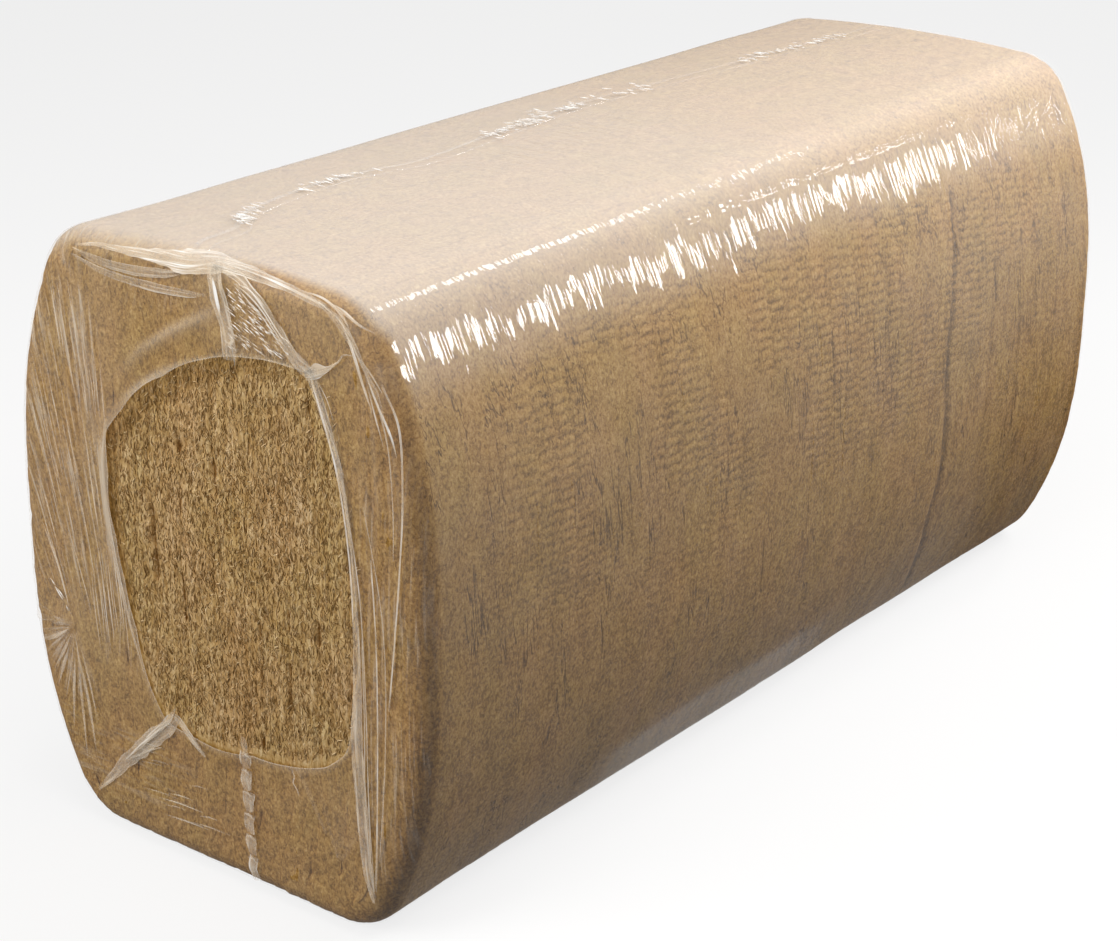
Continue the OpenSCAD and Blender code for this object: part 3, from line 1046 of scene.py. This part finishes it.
def fold_beside_opening(material):
    strips = Strips()
    strips.on_near(
        [(-131, 526), (-141, 505), (-150, 482), (-160, 452), (-167, 420), (-172, 380), (-175, 340),
         (-177, 300), (-177, 250), (-175, 200), (-178, 150), (-181, 110), (-184, 75), (-188, 45)],
        [10, 9, 9, 8, 6, 5, 5, 7, 10, 13, 14, 13, 11, 2], haze=0.10, lines=1.0, seed=7,
        stand=0.0018, ragged=0.15, crumple=0.0009,
    )
    strips.on_near(
        [(-134, 520), (-146, 488), (-158, 452), (-166, 415), (-171, 378), (-174, 340), (-175, 300)],
        [1.6, 2.0, 2.0, 1.8, 1.6, 1.6, 1.2], haze=0.50, lines=0.2, seed=8, stand=0.0028, ragged=0.1,
    )
    # Upright creases right of it
    for points, width, haze, seed in (
        ([(-205, 528), (-221, 492), (-228, 435), (-227, 382), (-220, 308), (-212, 240)], 1.7, 0.39, 21),
        ([(-201, 520), (-214, 480), (-220, 430), (-220, 380)], 1.2, 0.27, 22),
        ([(-172, 403), (-182, 331), (-186, 237), (-187, 143), (-190, 57)], 1.3, 0.30, 23),
        ([(-195, 374), (-199, 302), (-199, 227), (-197, 150), (-192, 58)], 1.6, 0.33, 24),
        ([(-188, 420), (-204, 340), (-209, 270), (-206, 180), (-198, 90)], 1.1, 0.225, 25),
        ([(-137, 505), (-152, 478), (-168, 440)], 1.2, 0.27, 26),
        ([(-183, 300), (-184, 220), (-183, 150), (-186, 90), (-190, 50)], 1.2, 0.33, 27),
        ([(-138, 521), (-150, 505), (-157, 488)], 1.0, 0.30, 28),
    ):
        strips.on_near(points, width, haze=haze, lines=0.5, seed=seed, stand=0.0016)
    return strips.piece("film_fold_side", material)


def weld_seam_low(material):
    """The crumpled weld below the opening: a row of small blocks of gathered film."""
    strips = Strips()
    blocks = [(-40, 143, 128, 12), (-40, 126, 106, 11), (-41, 104, 84, 12), (-42, 82, 62, 12),
              (-43, 60, 40, 11), (-44, 38, 14, 10)]
    for k, (y, high, low, width) in enumerate(blocks):
        middle = (high + low) / 2
        strips.on_near([(y, high), (y + 1, middle), (y - 1, low)], [width, width * 1.15, width * 0.8],
                       haze=0.36, lines=1.2, seed=30 + k, thick=0.0016, crumple=0.0028, ragged=0.6,
                       edge_haze=0.5)
        strips.on_near([(y + width / 2, high - 1), (y, high), (y - width / 2, high - 3)], [1, 2.6, 1],
                       haze=0.8, lines=0.3, seed=40 + k, stand=0.0028)
    strips.on_near([(-36, 158), (-38, 150), (-40, 142)], [5, 8, 5], haze=0.22, lines=0.6, seed=47,
                   thick=0.002, crumple=0.002)
    strips.on_near([(-96, 146), (-99, 139), (-97, 133), (-102, 127), (-104, 121)],
                   [1, 1.6, 1.2, 1.6, 0.8], haze=0.4, lines=0.2, seed=48)
    return strips.piece("film_seam_low", material)


def flame_fold(material):
    """The ridge that runs from the lower left rim up to the opening's lower left corner."""
    strips = Strips()
    strips.on_near([(160, 38), (140, 58), (120, 80), (98, 101), (78, 120), (58, 137), (47, 149)],
                   [3, 9, 14, 17, 17, 14, 6], haze=0.15, lines=0.7, seed=51, crumple=0.0026, ragged=0.5,
                   edge_haze=0.16)
    strips.on_near([(118, 84), (98, 104), (78, 124), (62, 140), (52, 152), (47, 160)],
                   [1, 3, 5, 6, 5, 1.5], haze=0.24, lines=1.0, seed=52, stand=0.0026,
                   crumple=0.0022, ragged=1.0)
    strips.on_near([(53, 151), (45, 149), (34, 140), (22, 130), (12, 122)], [4, 8, 8, 6, 2],
                   haze=0.22, lines=0.9, seed=53, stand=0.002, crumple=0.0018, ragged=0.8)
    rng = np.random.default_rng(54)
    for k in range(13):
        z, start, length = rng.uniform(38, 116), rng.uniform(20, 112), rng.uniform(22, 60)
        spots = [(start, z - 3), (start - length / 2, z), (start - length, z + 1)]
        strips.on_near(spots, [0.6, 1.4, 0.6], haze=rng.uniform(0.10, 0.34), lines=0.3,
                       seed=250 + k, edge_haze=0.0)
    strips.on_near([(118, 84), (104, 92), (86, 104), (70, 112)], [1, 2, 2, 1],
                   haze=0.2, lines=0.5, seed=59)
    return strips.piece("film_fold_flame", material)


def hanging_tab(material):
    strips = Strips()
    strips.on_near([(-20, 592), (-30, 575), (-36, 558), (-40, 545), (-42, 530), (-43, 515)],
                   [14, 17, 17, 16, 15, 14], haze=0.16, lines=0.8, seed=61, stand=0.004, crumple=0.002,
                   ragged=0.25, edge_haze=0.22)
    # Painted highlights: a glint down the tab and a white spot on its curl, as strips made far milkier
    # than the film
    strips.on_near([(-27, 583), (-33, 568), (-37, 553)], [1, 4.5, 1], haze=2.4, lines=0.3,
                   seed=62, stand=0.0066)
    strips.on_near([(-44, 540), (-49, 536), (-47, 531), (-40, 533)], [1.4, 3.4, 3.4, 1.4],
                   haze=1.3, lines=0.2, seed=63, stand=0.0062)
    strips.on_near([(-47, 530), (-50, 522), (-51, 513)], 1.6, haze=0.3, lines=0.3, seed=64, stand=0.006)
    return strips.piece("film_tab", material)


def crinkles_painted_glints(material):
    """Short creases, side by side, between the hanging tab and the fold to the knot. Their brightness
    is painted highlight: each is made far milkier than the film, as a glint.
    """
    strips = Strips()
    rng = np.random.default_rng(65)
    for k in range(230):
        y, z = rng.uniform(-112, -42), rng.uniform(512, 578)
        # They fill a wedge between the fold and the opening
        if z > 583 + 0.62 * (y + 50) or past_opening(y / 1000, z / 1000) < 0.004:
            continue
        half, slope = rng.uniform(1.5, 5.0), rng.uniform(0.38, 0.55)
        spots = [(y - half * t, z - slope * half * t) for t in (-1, 0, 1)]
        strips.on_near(spots, [0.4, rng.uniform(0.6, 1.2), 0.4], haze=rng.uniform(1.2, 4.0), lines=0.2,
                       seed=120 + k % 9, stand=0.0026, edge_haze=0.0, crumple=0.0, ragged=0.0)
    return strips.piece("film_crinkles", material)


def creases_left(material):
    """The bright creases left of the opening: long lines from the upper corner, and a star below."""
    strips = Strips()
    rng = np.random.default_rng(71)

    def crease(start, end, width, haze, seed):
        middle = [(a + b) / 2 + rng.uniform(-1.2, 1.2) for a, b in zip(start, end)]
        strips.on_near([start, middle, end], [0.5, width, 0.5], haze=haze, lines=0.3, seed=seed,
                       edge_haze=0.0)

    # Long lines that close in on a point below the pack
    for k in range(44):
        y, z = rng.uniform(128, 225), rng.uniform(300, 556)
        if z > 560 - 0.9 * abs(y - 165):
            continue
        lean, length = (y - 85) / (z + 100), rng.uniform(25, 110)
        end = (y - lean * length, max(z - length, 225))
        crease((y, z), end, rng.uniform(0.9, 1.5), rng.uniform(0.12, 0.36), 130 + k)
    # The star's creases, as (angle in degrees, first and last distance from its middle)
    for k, (degrees, first, last) in enumerate(
        [(1, 14, 32), (-12, 10, 34), (-33, 9, 52), (-41, 20, 56), (-50, 16, 60), (-58, 12, 64),
         (-67, 24, 74), (-76, 16, 84), (-84, 30, 110), (-92, 12, 140), (-98, 40, 130), (-104, 30, 96)]
    ):
        a = math.radians(degrees)
        start, end = (
            (1000 * STAR[0] + r * math.cos(a), 1000 * STAR[1] + r * math.sin(a)) for r in (first, last)
        )
        crease(start, end, rng.uniform(2.0, 4.5), rng.uniform(0.08, 0.22), 180 + k)
    # The pair of folds that comes down to the star, and painted glints beside it: short creases made
    # far milkier than the film
    crease((206, 292), (183, 212), 2.4, 0.30, 195)
    crease((214, 300), (192, 248), 1.8, 0.22, 196)
    for start, end, haze in (((209, 244), (203, 238), 2.4), ((203, 237), (193, 226), 3.6),
                             ((200, 236), (191, 228), 3.0), ((189, 222), (186, 216), 2.0)):
        crease(start, end, 1.6, haze, 197)
    # Fine upright lines between the star and the opening
    for k in range(11):
        y, z = 152 - 4.0 * k + rng.uniform(-1, 1), rng.uniform(255, 300)
        crease((y, z), (y - 6, z - rng.uniform(60, 90)), 1.3, rng.uniform(0.2, 0.42), 200 + k)
    # The soft fold along the opening's left edge
    strips.on_near([(122, 412), (127, 372), (123, 320), (114, 272), (102, 226), (88, 184)],
                   [1, 3, 4.5, 4.5, 3, 1], haze=0.16, lines=0.6, seed=198, edge_haze=0.30)
    # Short ones beside the opening's upper left corner
    for k in range(6):
        y, z = 152 - 6 * k + rng.uniform(-1, 1), rng.uniform(455, 480)
        crease((y, z), (y - 2, z - rng.uniform(25, 60)), 1.3, rng.uniform(0.2, 0.42), 215 + k)
    return strips.piece("film_creases_left", material)


def opening_edges(material):
    """The cut edge of the film round each opening, drawn up into a thin cord."""
    for end, name in ((-1, "film_edge_near"), (1, "film_edge_far")):
        strips = Strips()
        place = np.append(outline_place(150, 0.12), 0.0)
        points = lap_ring(place, end, 1.0)[0] + [end * 0.0002, 0, 0]
        normals = np.tile([float(end), 0, 0], (len(points), 1))
        widths = 0.0008 + 0.0007 * noise(points, (1, 0.03, 0.03), 66)
        strips.add(points, widths, normals, haze=0.15, lines=0.2, seed=67, thick=0.0008, ragged=0.3,
                   edge_haze=0.0)
        yield strips.piece(name, material)


def weld_seam_top(material):
    """The weld along the top: a thin line with bunches of small creases across it, their glints
    painted.
    """
    strips = Strips()
    seam = [(-595, 8), (-585, 12), (-568, 17), (-526, 23), (-476, 54), (-356, 70), (-312, 62),
            (-244, 50), (-132, 62), (-5, 74), (64, 75), (230, 63), (396, 54), (461, 46), (570, 44)]
    widths = [2, 4, 5, 5, 6, 5, 5, 4, 6, 6, 5, 5, 6, 5, 3]
    seam, widths = np.array(seam) / 1000, np.array(widths) / 1000
    up = np.tile([0.0, 0, 1], (len(seam), 1))
    height = top_z(seam[:, 1], 0.0) - arc_drop(END_R, np.abs(seam[:, 0]) - RIM_X)
    points = np.column_stack([seam, height + 0.0006])
    strips.add(points, widths, up, haze=0.02, lines=0.4, seed=81, crosswise=True, edge_haze=0.04)
    strips.add(points + [0, -0.016, 0], 0.0012, up, haze=0.05, lines=0.2, seed=82, edge_haze=0.0)
    rng = np.random.default_rng(83)
    # The bunches of creases, as (middle, half length, number). Their brightness is painted highlight:
    # each crease is made far milkier than the film, as a glint.
    for middle, half, number in ((-0.49, 0.035, 40), (-0.35, 0.05, 24), (-0.06, 0.09, 90),
                                 (0.10, 0.05, 18), (0.40, 0.10, 50)):
        for _ in range(number):
            x = middle + half * rng.uniform(-1, 1)
            y = np.interp(x, seam[:, 0], seam[:, 1]) + rng.normal(0, 0.007)
            length, lean = rng.uniform(0.004, 0.016), rng.uniform(-0.5, 0.5)
            spots = np.array([(x + lean * length * t, y + length * t) for t in (-0.5, 0, 0.5)])
            spots = np.column_stack([spots, top_z(spots[:, 1], 0.0) + 0.0012])
            across_at = [0.0006, rng.uniform(0.0012, 0.0026), 0.0006]
            seed = int(84 + rng.integers(9))
            strips.add(spots, across_at, up[:3], seed=seed, haze=rng.uniform(0.9, 3.2), lines=0.3)
    return strips.piece("film_seam_top", material)


# ---------------------------------------------------------------- materials


class Nodes:
    """Short names for building the nodes of a material or of the world."""

    def __init__(self, owner):
        owner.use_nodes = True
        self.owner = owner
        self.tree = owner.node_tree
        self.tree.nodes.clear()

    def add(self, kind, settings=None, **inputs):
        """A node. Its inputs go by name, or by number as i0, i1 and so on."""
        node = self.tree.nodes.new(kind)
        for key, value in (settings or {}).items():
            setattr(node, key, value)
        for key, value in inputs.items():
            numbered = key[0] == "i" and key[1:].isdigit()
            socket = node.inputs[int(key[1:]) if numbered else key.replace("_", " ")]
            if isinstance(value, bpy.types.NodeSocket):
                self.tree.links.new(value, socket)
            else:
                socket.default_value = value
        return node

    def place(self):
        """The point in the pack's own frame."""
        return self.add("ShaderNodeTexCoord").outputs["Object"]

    def parts(self, vector):
        """X, Y and Z of a vector, by name."""
        return self.add("ShaderNodeSeparateXYZ", Vector=vector).outputs

    def noise(self, vector, scale, detail=4.0, roughness=0.6, distortion=0.0, turn=0.0):
        """Noise with lumps 1 / scale metres wide along x, y and z, turned about y."""
        if turn:
            vector = self.add("ShaderNodeMapping", Vector=vector, Rotation=(0, turn, 0)).outputs[0]
        place = self.add("ShaderNodeMapping", Vector=vector, Scale=scale).outputs[0]
        made = self.add("ShaderNodeTexNoise", Vector=place, Scale=1.0, Detail=detail,
                        Roughness=roughness, Distortion=distortion)
        return made.outputs["Fac"]

    def attribute(self, name, output="Fac"):
        return self.add("ShaderNodeAttribute", {"attribute_name": name}).outputs[output]

    def math(self, operation, a, b=0.0, c=0.0, clamp=False):
        settings = {"operation": operation, "use_clamp": clamp}
        return self.add("ShaderNodeMath", settings, i0=a, i1=b, i2=c).outputs[0]

    def times(self, first, *others):
        for other in others:
            first = self.math("MULTIPLY", first, other)
        return first

    def less(self, a, b):
        return self.math("SUBTRACT", a, b)

    def apart(self, a, b):
        return self.math("ABSOLUTE", self.less(a, b))

    def total(self, *parts):
        """The sum of (value, weight) pairs."""
        result = 0.0
        for value, weight in parts:
            result = self.math("MULTIPLY_ADD", value, weight, result)
        return result

    def within(self, value, low, high):
        """value's place between low and high, from 0 to 1."""
        return self.add("ShaderNodeMapRange", Value=value, From_Min=low, From_Max=high).outputs[0]

    def ramp(self, factor, stops):
        """Colour by factor. The first stop is the lowest, and the second the highest."""
        node = self.add("ShaderNodeValToRGB", Fac=factor)
        points = node.color_ramp.elements
        for k, (place, colour) in enumerate(stops):
            point = points[k] if k < 2 else points.new(place)
            point.position = place
            point.color = (*colour, 1)
        return node.outputs["Color"]

    def mix(self, factor, a, b, blend="MIX"):
        settings = {"data_type": "RGBA", "blend_type": blend}
        return self.add("ShaderNodeMix", settings, i0=factor, i6=a, i7=b).outputs[2]

    def tinted(self, factor, colour, *tint):
        return self.mix(factor, colour, (*tint, 1), "MULTIPLY")

    def principled(self, specular, **inputs):
        shader = self.add("ShaderNodeBsdfPrincipled", **inputs)
        shader.inputs["Specular IOR Level"].default_value = specular
        return shader.outputs[0]

    def blend(self, factor, a, b):
        return self.add("ShaderNodeMixShader", i0=factor, i1=a, i2=b).outputs[0]

    def seen(self):
        """1 for rays from the camera, off a mirror or through clear film, and 0 for the others."""
        path = self.add("ShaderNodeLightPath").outputs
        first = self.math("MAXIMUM", path["Is Camera Ray"], path["Is Glossy Ray"])
        return self.math("MAXIMUM", first, path["Is Transmission Ray"])

    def output(self, surface, kind="ShaderNodeOutputMaterial"):
        self.add(kind, Surface=surface)
        return self.owner


def new_material(name):
    return Nodes(bpy.data.materials.new(name))


def belt_print(n, place, at):
    """The belt's print as on the wool's relief: 1 between its dashes and 0 on them."""
    column = n.total((at["X"], 1 / PRINT_PITCH), (n.math("SINE", n.times(at["Z"], 9.0)), 0.2))
    from_mid = n.apart(n.math("FRACT", column), 0.5)
    odd = n.math("FLOORED_MODULO", n.math("FLOOR", column), 2.0)
    jitter = n.less(n.noise(place, (75, 75, 75), 2.0), 0.5)
    sway = n.math("SINE", n.times(at["X"], 11.0))
    row = n.total((at["Z"], 1 / PRINT_ROW), (odd, 0.62), (sway, 0.25), (jitter, 0.9))
    from_row = n.apart(n.math("FRACT", row), 0.5)
    between = n.times(n.within(from_mid, 0.40, 0.50), 0.5)
    gap = n.math("MAXIMUM", n.within(from_row, 0.26, 0.46), between)
    return n.times(gap, n.attribute("print"))


def wool_streak(n, place):
    """Upright streaks, which the bare wool and its loose strands share."""
    return n.noise(place, (170, 170, 22), 2.0, 0.6, 0.4)


def wool_grain(n, place, bare, end):
    """(tone, relief) of the grain: even where the film presses the wool, in strands where bare."""
    strand = n.noise(place, (950, 950, 240), 3.0, 0.6, 0.9)
    grain = n.noise(place, (480, 480, 330), 4.0, 0.75, 0.5)
    tress = n.noise(place, (430, 430, 60), 2.0, 0.6, 0.9)
    speckle = n.noise(place, (330, 330, 250), 3.0, 0.75, 0.6)
    mottle = n.noise(place, (70, 70, 42), 3.0, 0.6, 0.5)
    streak = wool_streak(n, place)
    pressed = n.total((speckle, 0.56), (grain, 0.20), (strand, 0.08), (streak, 0.05), (mottle, 0.11))
    loose = n.total((strand, 0.31), (grain, 0.32), (tress, 0.34), (mottle, 0.03))
    relief = n.total((n.less(loose, pressed), bare), (pressed, 1.0))
    contrast = n.total((bare, -0.05), (end, 0.22), (1.0, 1.12))
    upright = n.times(n.less(streak, 0.5), bare)
    tone = n.total((n.less(relief, 0.5), contrast), (mottle, 0.06), (upright, 0.30), (bare, 0.080),
                   (end, -0.015), (0.45, 1.0))
    return tone, relief


def wool_marks(n, place, at, body):
    """(cracks, shadows) along the pack: short and a little aslant, and long, soft and upright."""
    slit = n.apart(n.noise(place, (80, 80, 5.5), 2.0, 0.65, turn=0.10), 0.5)
    short = n.within(n.noise(place, (26, 26, 9), 1.0), 0.55, 0.60)
    crack = n.times(n.within(slit, 0.018, 0.005), short)
    crack = n.times(crack, n.times(n.within(at["Z"], 0.592, 0.565), body))
    # Most of the shadows lie towards the far end
    far = n.within(at["X"], -0.1, 0.45)
    return crack, n.times(n.within(n.noise(place, (80, 80, 5), 3.0, 0.6), 0.50, 0.68), far)


def wool_colour(n, place, at, tone, end, bare, rim):
    colour = n.ramp(tone, [(0.20, (0.080, 0.042, 0.013)), (0.74, (0.78, 0.62, 0.38)),
                           (0.36, (0.230, 0.130, 0.043)), (0.47, (0.42, 0.260, 0.098)),
                           (0.58, (0.56, 0.390, 0.185))])
    # Patches lean to olive and to pink, and the tight rims to ochre
    patch = n.within(n.noise(place, (17, 17, 11), 2.0, 0.55), 0.36, 0.64)
    tint = n.mix(patch, (0.985, 1.005, 0.95, 1), (1.01, 0.99, 1.03, 1))
    colour = n.mix(1.0, colour, tint, "MULTIPLY")
    colour = n.tinted(n.less(1.0, bare), colour, 0.83, 0.76, 0.57)
    colour = n.tinted(1.0, colour, 1.06, 1.06, 1.08)
    colour = n.tinted(rim, colour, 1.0, 0.93, 0.84)
    # Painted light: on top, where the light falls full, the wool is mixed toward pale, as the lit milk
    # of the film over it would look
    share = n.total((n.within(at["X"], -0.3, 0.55), -0.03), (0.26, 1.0))
    painted_top_light = n.times(n.within(at["Z"], 0.535, 0.592), share)
    painted_top_light = n.times(painted_top_light, n.less(1.0, n.math("MAXIMUM", end, rim)))
    return n.mix(painted_top_light, colour, (0.90, 0.885, 0.875, 1))


def wool_material():
    n = new_material("wool")
    place = n.place()
    at = n.parts(place)
    bare, rim = n.attribute("bare"), n.attribute("rim")
    end = n.within(n.math("ABSOLUTE", at["X"]), 0.585, 0.600)
    body = n.less(1.0, end)
    tone, relief = wool_grain(n, place, bare, end)
    crack, shadow = wool_marks(n, place, at, body)
    mark = belt_print(n, place, at)
    # Painted shade: low on the sides the wool is darker, as where less light falls
    low = n.times(n.within(at["Z"], 0.52, 0.08), body)
    dark = n.total((crack, 0.14), (shadow, 0.055), (mark, 0.056), (n.attribute("shade"), 0.17),
                   (rim, 0.02), (low, 0.085))
    colour = wool_colour(n, place, at, n.less(tone, dark), end, bare, rim)
    height = n.total((relief, 1.0), (crack, -0.6), (mark, -0.30))
    depth = n.total((bare, 0.0010), (0.0008, 1.0))
    bump = n.add("ShaderNodeBump", Strength=0.85, Distance=depth, Height=height).outputs[0]
    return n.output(n.principled(0.1, Base_Color=colour, Roughness=0.95, Normal=bump))


def fibre_material():
    n = new_material("wool_fibre")
    place = n.place()
    tone = n.total((n.attribute("tone"), 0.9), (n.noise(place, (500, 500, 200), 2.0), 0.4),
                   (wool_streak(n, place), 0.7), (-0.37, 1.0))
    colour = n.ramp(tone, [(0.0, (0.11, 0.056, 0.016)), (1.0, (0.80, 0.605, 0.345)),
                           (0.4, (0.32, 0.183, 0.062)), (0.75, (0.52, 0.340, 0.143))])
    return n.output(n.principled(0.25, Base_Color=colour, Roughness=0.7))


def film_share(n, at):
    """The share a sheet of film mirrors, which is alike from in front and behind."""
    facing = n.add("ShaderNodeLayerWeight", Blend=0.5).outputs["Facing"]
    share = n.math("MULTIPLY_ADD", n.math("POWER", facing, 5.0), 0.15, 0.03)
    # Dust dulls it round the far rim and on the far half of the top
    share = n.times(share, n.within(at["X"], 0.575, 0.552))
    dull = n.times(n.within(at["X"], -0.02, 0.10), n.within(at["Z"], 0.558, 0.570))
    dull = n.total((n.within(at["X"], 0.32, 0.44), 0.62), (dull, 1.0))
    return n.times(share, n.math("SUBTRACT", 1.0, dull, clamp=True))


def film_material():
    """Clear film: it lets light through, with a little milk in it and a gloss that grows aslant."""
    n = new_material("film")
    place = n.place()
    at = n.parts(place)
    strength = n.attribute("lines")
    lines = n.noise(n.attribute("flow", "Vector"), (520, 14, 1), 2.5, 0.6, 0.25)
    drawn = n.total((n.within(lines, 0.53, 0.66), 0.34), (n.within(lines, 0.47, 0.38), -0.07))
    haze = n.total((n.attribute("haze"), 1.0), (n.times(drawn, strength), 1.0),
                   (n.noise(place, (26, 26, 26), 3.0, 0.55), 0.05), (-0.02, 1.0))
    ripple = n.times(n.noise(place, (80, 9, 8), 2.0, 0.5, 0.1), n.attribute("ripple"))
    broad = n.noise(place, (34, 20, 20), 2.0, 0.5)
    height = n.total((ripple, 5.5), (broad, 0.3), (n.times(lines, strength), 1.4))
    bump = n.add("ShaderNodeBump", Strength=1.0, Distance=0.0011, Height=height).outputs[0]
    clear = n.add("ShaderNodeBsdfTransparent").outputs[0]
    # The milk is warmer over the near end, where the film lies doubled and dusty
    milk = n.mix(n.within(at["X"], -0.598, -0.580), (0.95, 0.80, 0.60, 1), (0.92, 0.89, 0.86, 1))
    # Where the haze is strongest, as on the painted glints, the milk turns whiter
    milk = n.mix(n.within(haze, 0.30, 0.70), milk, (1.0, 0.97, 0.92, 1))
    milky = n.principled(0.5, Base_Color=milk, Roughness=0.35)
    haze = n.math("MAXIMUM", n.math("MINIMUM", haze, 0.9), 0.0)
    gloss = n.add("ShaderNodeBsdfGlossy", Color=(1, 1, 1, 1), Roughness=0.06, Normal=bump).outputs[0]
    return n.output(n.blend(film_share(n, at), n.blend(haze, clear, milky), gloss))


# ---------------------------------------------------------------- studio


def make_world():
    """Even soft light, which a mirror, clear film or the camera sees as white."""
    world = bpy.data.worlds.new("studio")
    bpy.context.scene.world = world
    n = Nodes(world)
    ambient = n.add("ShaderNodeBackground", Color=(1, 0.99, 0.975, 1), Strength=0.09).outputs[0]
    white = n.add("ShaderNodeBackground", Strength=1.0).outputs[0]
    n.output(n.blend(n.seen(), ambient, white), "ShaderNodeOutputWorld")


def make_floor():
    n = new_material("studio_floor")
    matt = n.add("ShaderNodeBsdfDiffuse", Color=(0.16, 0.158, 0.155, 1)).outputs[0]
    lit = n.add("ShaderNodeEmission", Strength=n.times(n.seen(), 0.80)).outputs[0]
    material = n.output(n.add("ShaderNodeAddShader", i0=matt, i1=lit).outputs[0])
    skin = Skin()
    radius, corners = 12, 64
    turns = np.linspace(0, 2 * math.pi, corners + 1)[:-1]
    skin.add([(radius * math.cos(a), radius * math.sin(a), 0) for a in turns])
    skin.faces = [list(range(corners))]
    mesh = skin.mesh("floor")
    mesh.materials.append(material)
    floor = bpy.data.objects.new("floor", mesh)
    bpy.context.scene.collection.objects.link(floor)


def area_lamp(name, place, target, width, height, watts, along=None):
    """A soft lamp. One with its long side laid `along` a direction also shows in the film's gloss."""
    lamp = bpy.data.lights.new(name, "AREA")
    lamp.shape = "RECTANGLE"
    lamp.size, lamp.size_y = width, height
    lamp.energy = watts
    item = bpy.data.objects.new(name, lamp)
    bpy.context.scene.collection.objects.link(item)
    item.location = place
    back = (Vector(place) - Vector(target)).normalized()
    long_way = Vector(along) if along else Vector((0, 0, 1)).cross(back)
    long_way = (long_way - back * long_way.dot(back)).normalized()
    item.rotation_mode = "QUATERNION"
    axes = Matrix((long_way, back.cross(long_way), back)).transposed()
    item.rotation_quaternion = axes.to_quaternion()
    item.visible_camera = False
    item.visible_glossy = along is not None


def make_lamps():
    area_lamp("overhead", (-0.8, -0.4, 2.2), (-0.2, 0, 0.4), 1.2, 1.2, 20)
    area_lamp("front_left", (-3.2, 0.9, 1.9), (-0.5, 0, 0.3), 1.8, 1.8, 86)
    area_lamp("right", (1.2, -1.2, 1.8), (0, 0, 0.4), 1.0, 1.0, 43)
    # Two long narrow lamps far away, which the long upper edge mirrors as a band and a thin line
    area_lamp("band", (7.2, -5.2, 2.6), (0, -0.2, 0.54), 3.6, 0.75, 240, along=(-0.60, -0.72, 0.345))
    area_lamp("line", (5.72, -0.63, 5.93), (-0.35, -0.18, 0.58), 2.4, 0.75, 88,
              along=(-0.62, -0.42, 0.67))


def make_camera():
    """The photograph's viewing angle. Its picture is 1118 x 941."""
    place = (-2.0051, -1.4734, 1.2105)
    yaw, pitch, roll = math.radians(37.67), math.radians(-21.76), math.radians(0.55)
    level_run = math.cos(pitch)
    ahead = np.array([level_run * math.cos(yaw), level_run * math.sin(yaw), math.sin(pitch)])
    level = np.cross(ahead, [0, 0, 1])
    level /= np.linalg.norm(level)
    upright = np.cross(level, ahead)
    right = level * math.cos(roll) + upright * math.sin(roll)
    up = upright * math.cos(roll) - level * math.sin(roll)
    data = bpy.data.cameras.new("camera")
    data.sensor_width = 36
    data.lens = 80.94
    camera = bpy.data.objects.new("camera", data)
    matrix = Matrix.Identity(4)
    for column, values in enumerate((right, up, -ahead, place)):
        for row in range(3):
            matrix[row][column] = values[row]
    camera.matrix_world = matrix
    bpy.context.scene.collection.objects.link(camera)
    bpy.context.scene.camera = camera


# ---------------------------------------------------------------- the whole scene

bpy.context.scene.view_settings.view_transform = "Standard"
make_camera()
make_world()
make_floor()
make_lamps()

slabs = make_slabs(wool_material())
strands = fibre_material()
make_fibres("wool_fibres_near", 16000, -1, 31, slabs, strands)
make_fibres("wool_fibres_far", 2500, 1, 32, slabs, strands)

film = film_material()
sleeve = place_object("film_sleeve_piece", film_mesh(), film)
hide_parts("film_sleeve")
makers = (fold_along_rim, fold_to_knot, fold_beside_opening, weld_seam_low, flame_fold, hanging_tab,
          crinkles_painted_glints, creases_left, weld_seam_top)
folds = [make(film) for make in makers] + list(opening_edges(film))
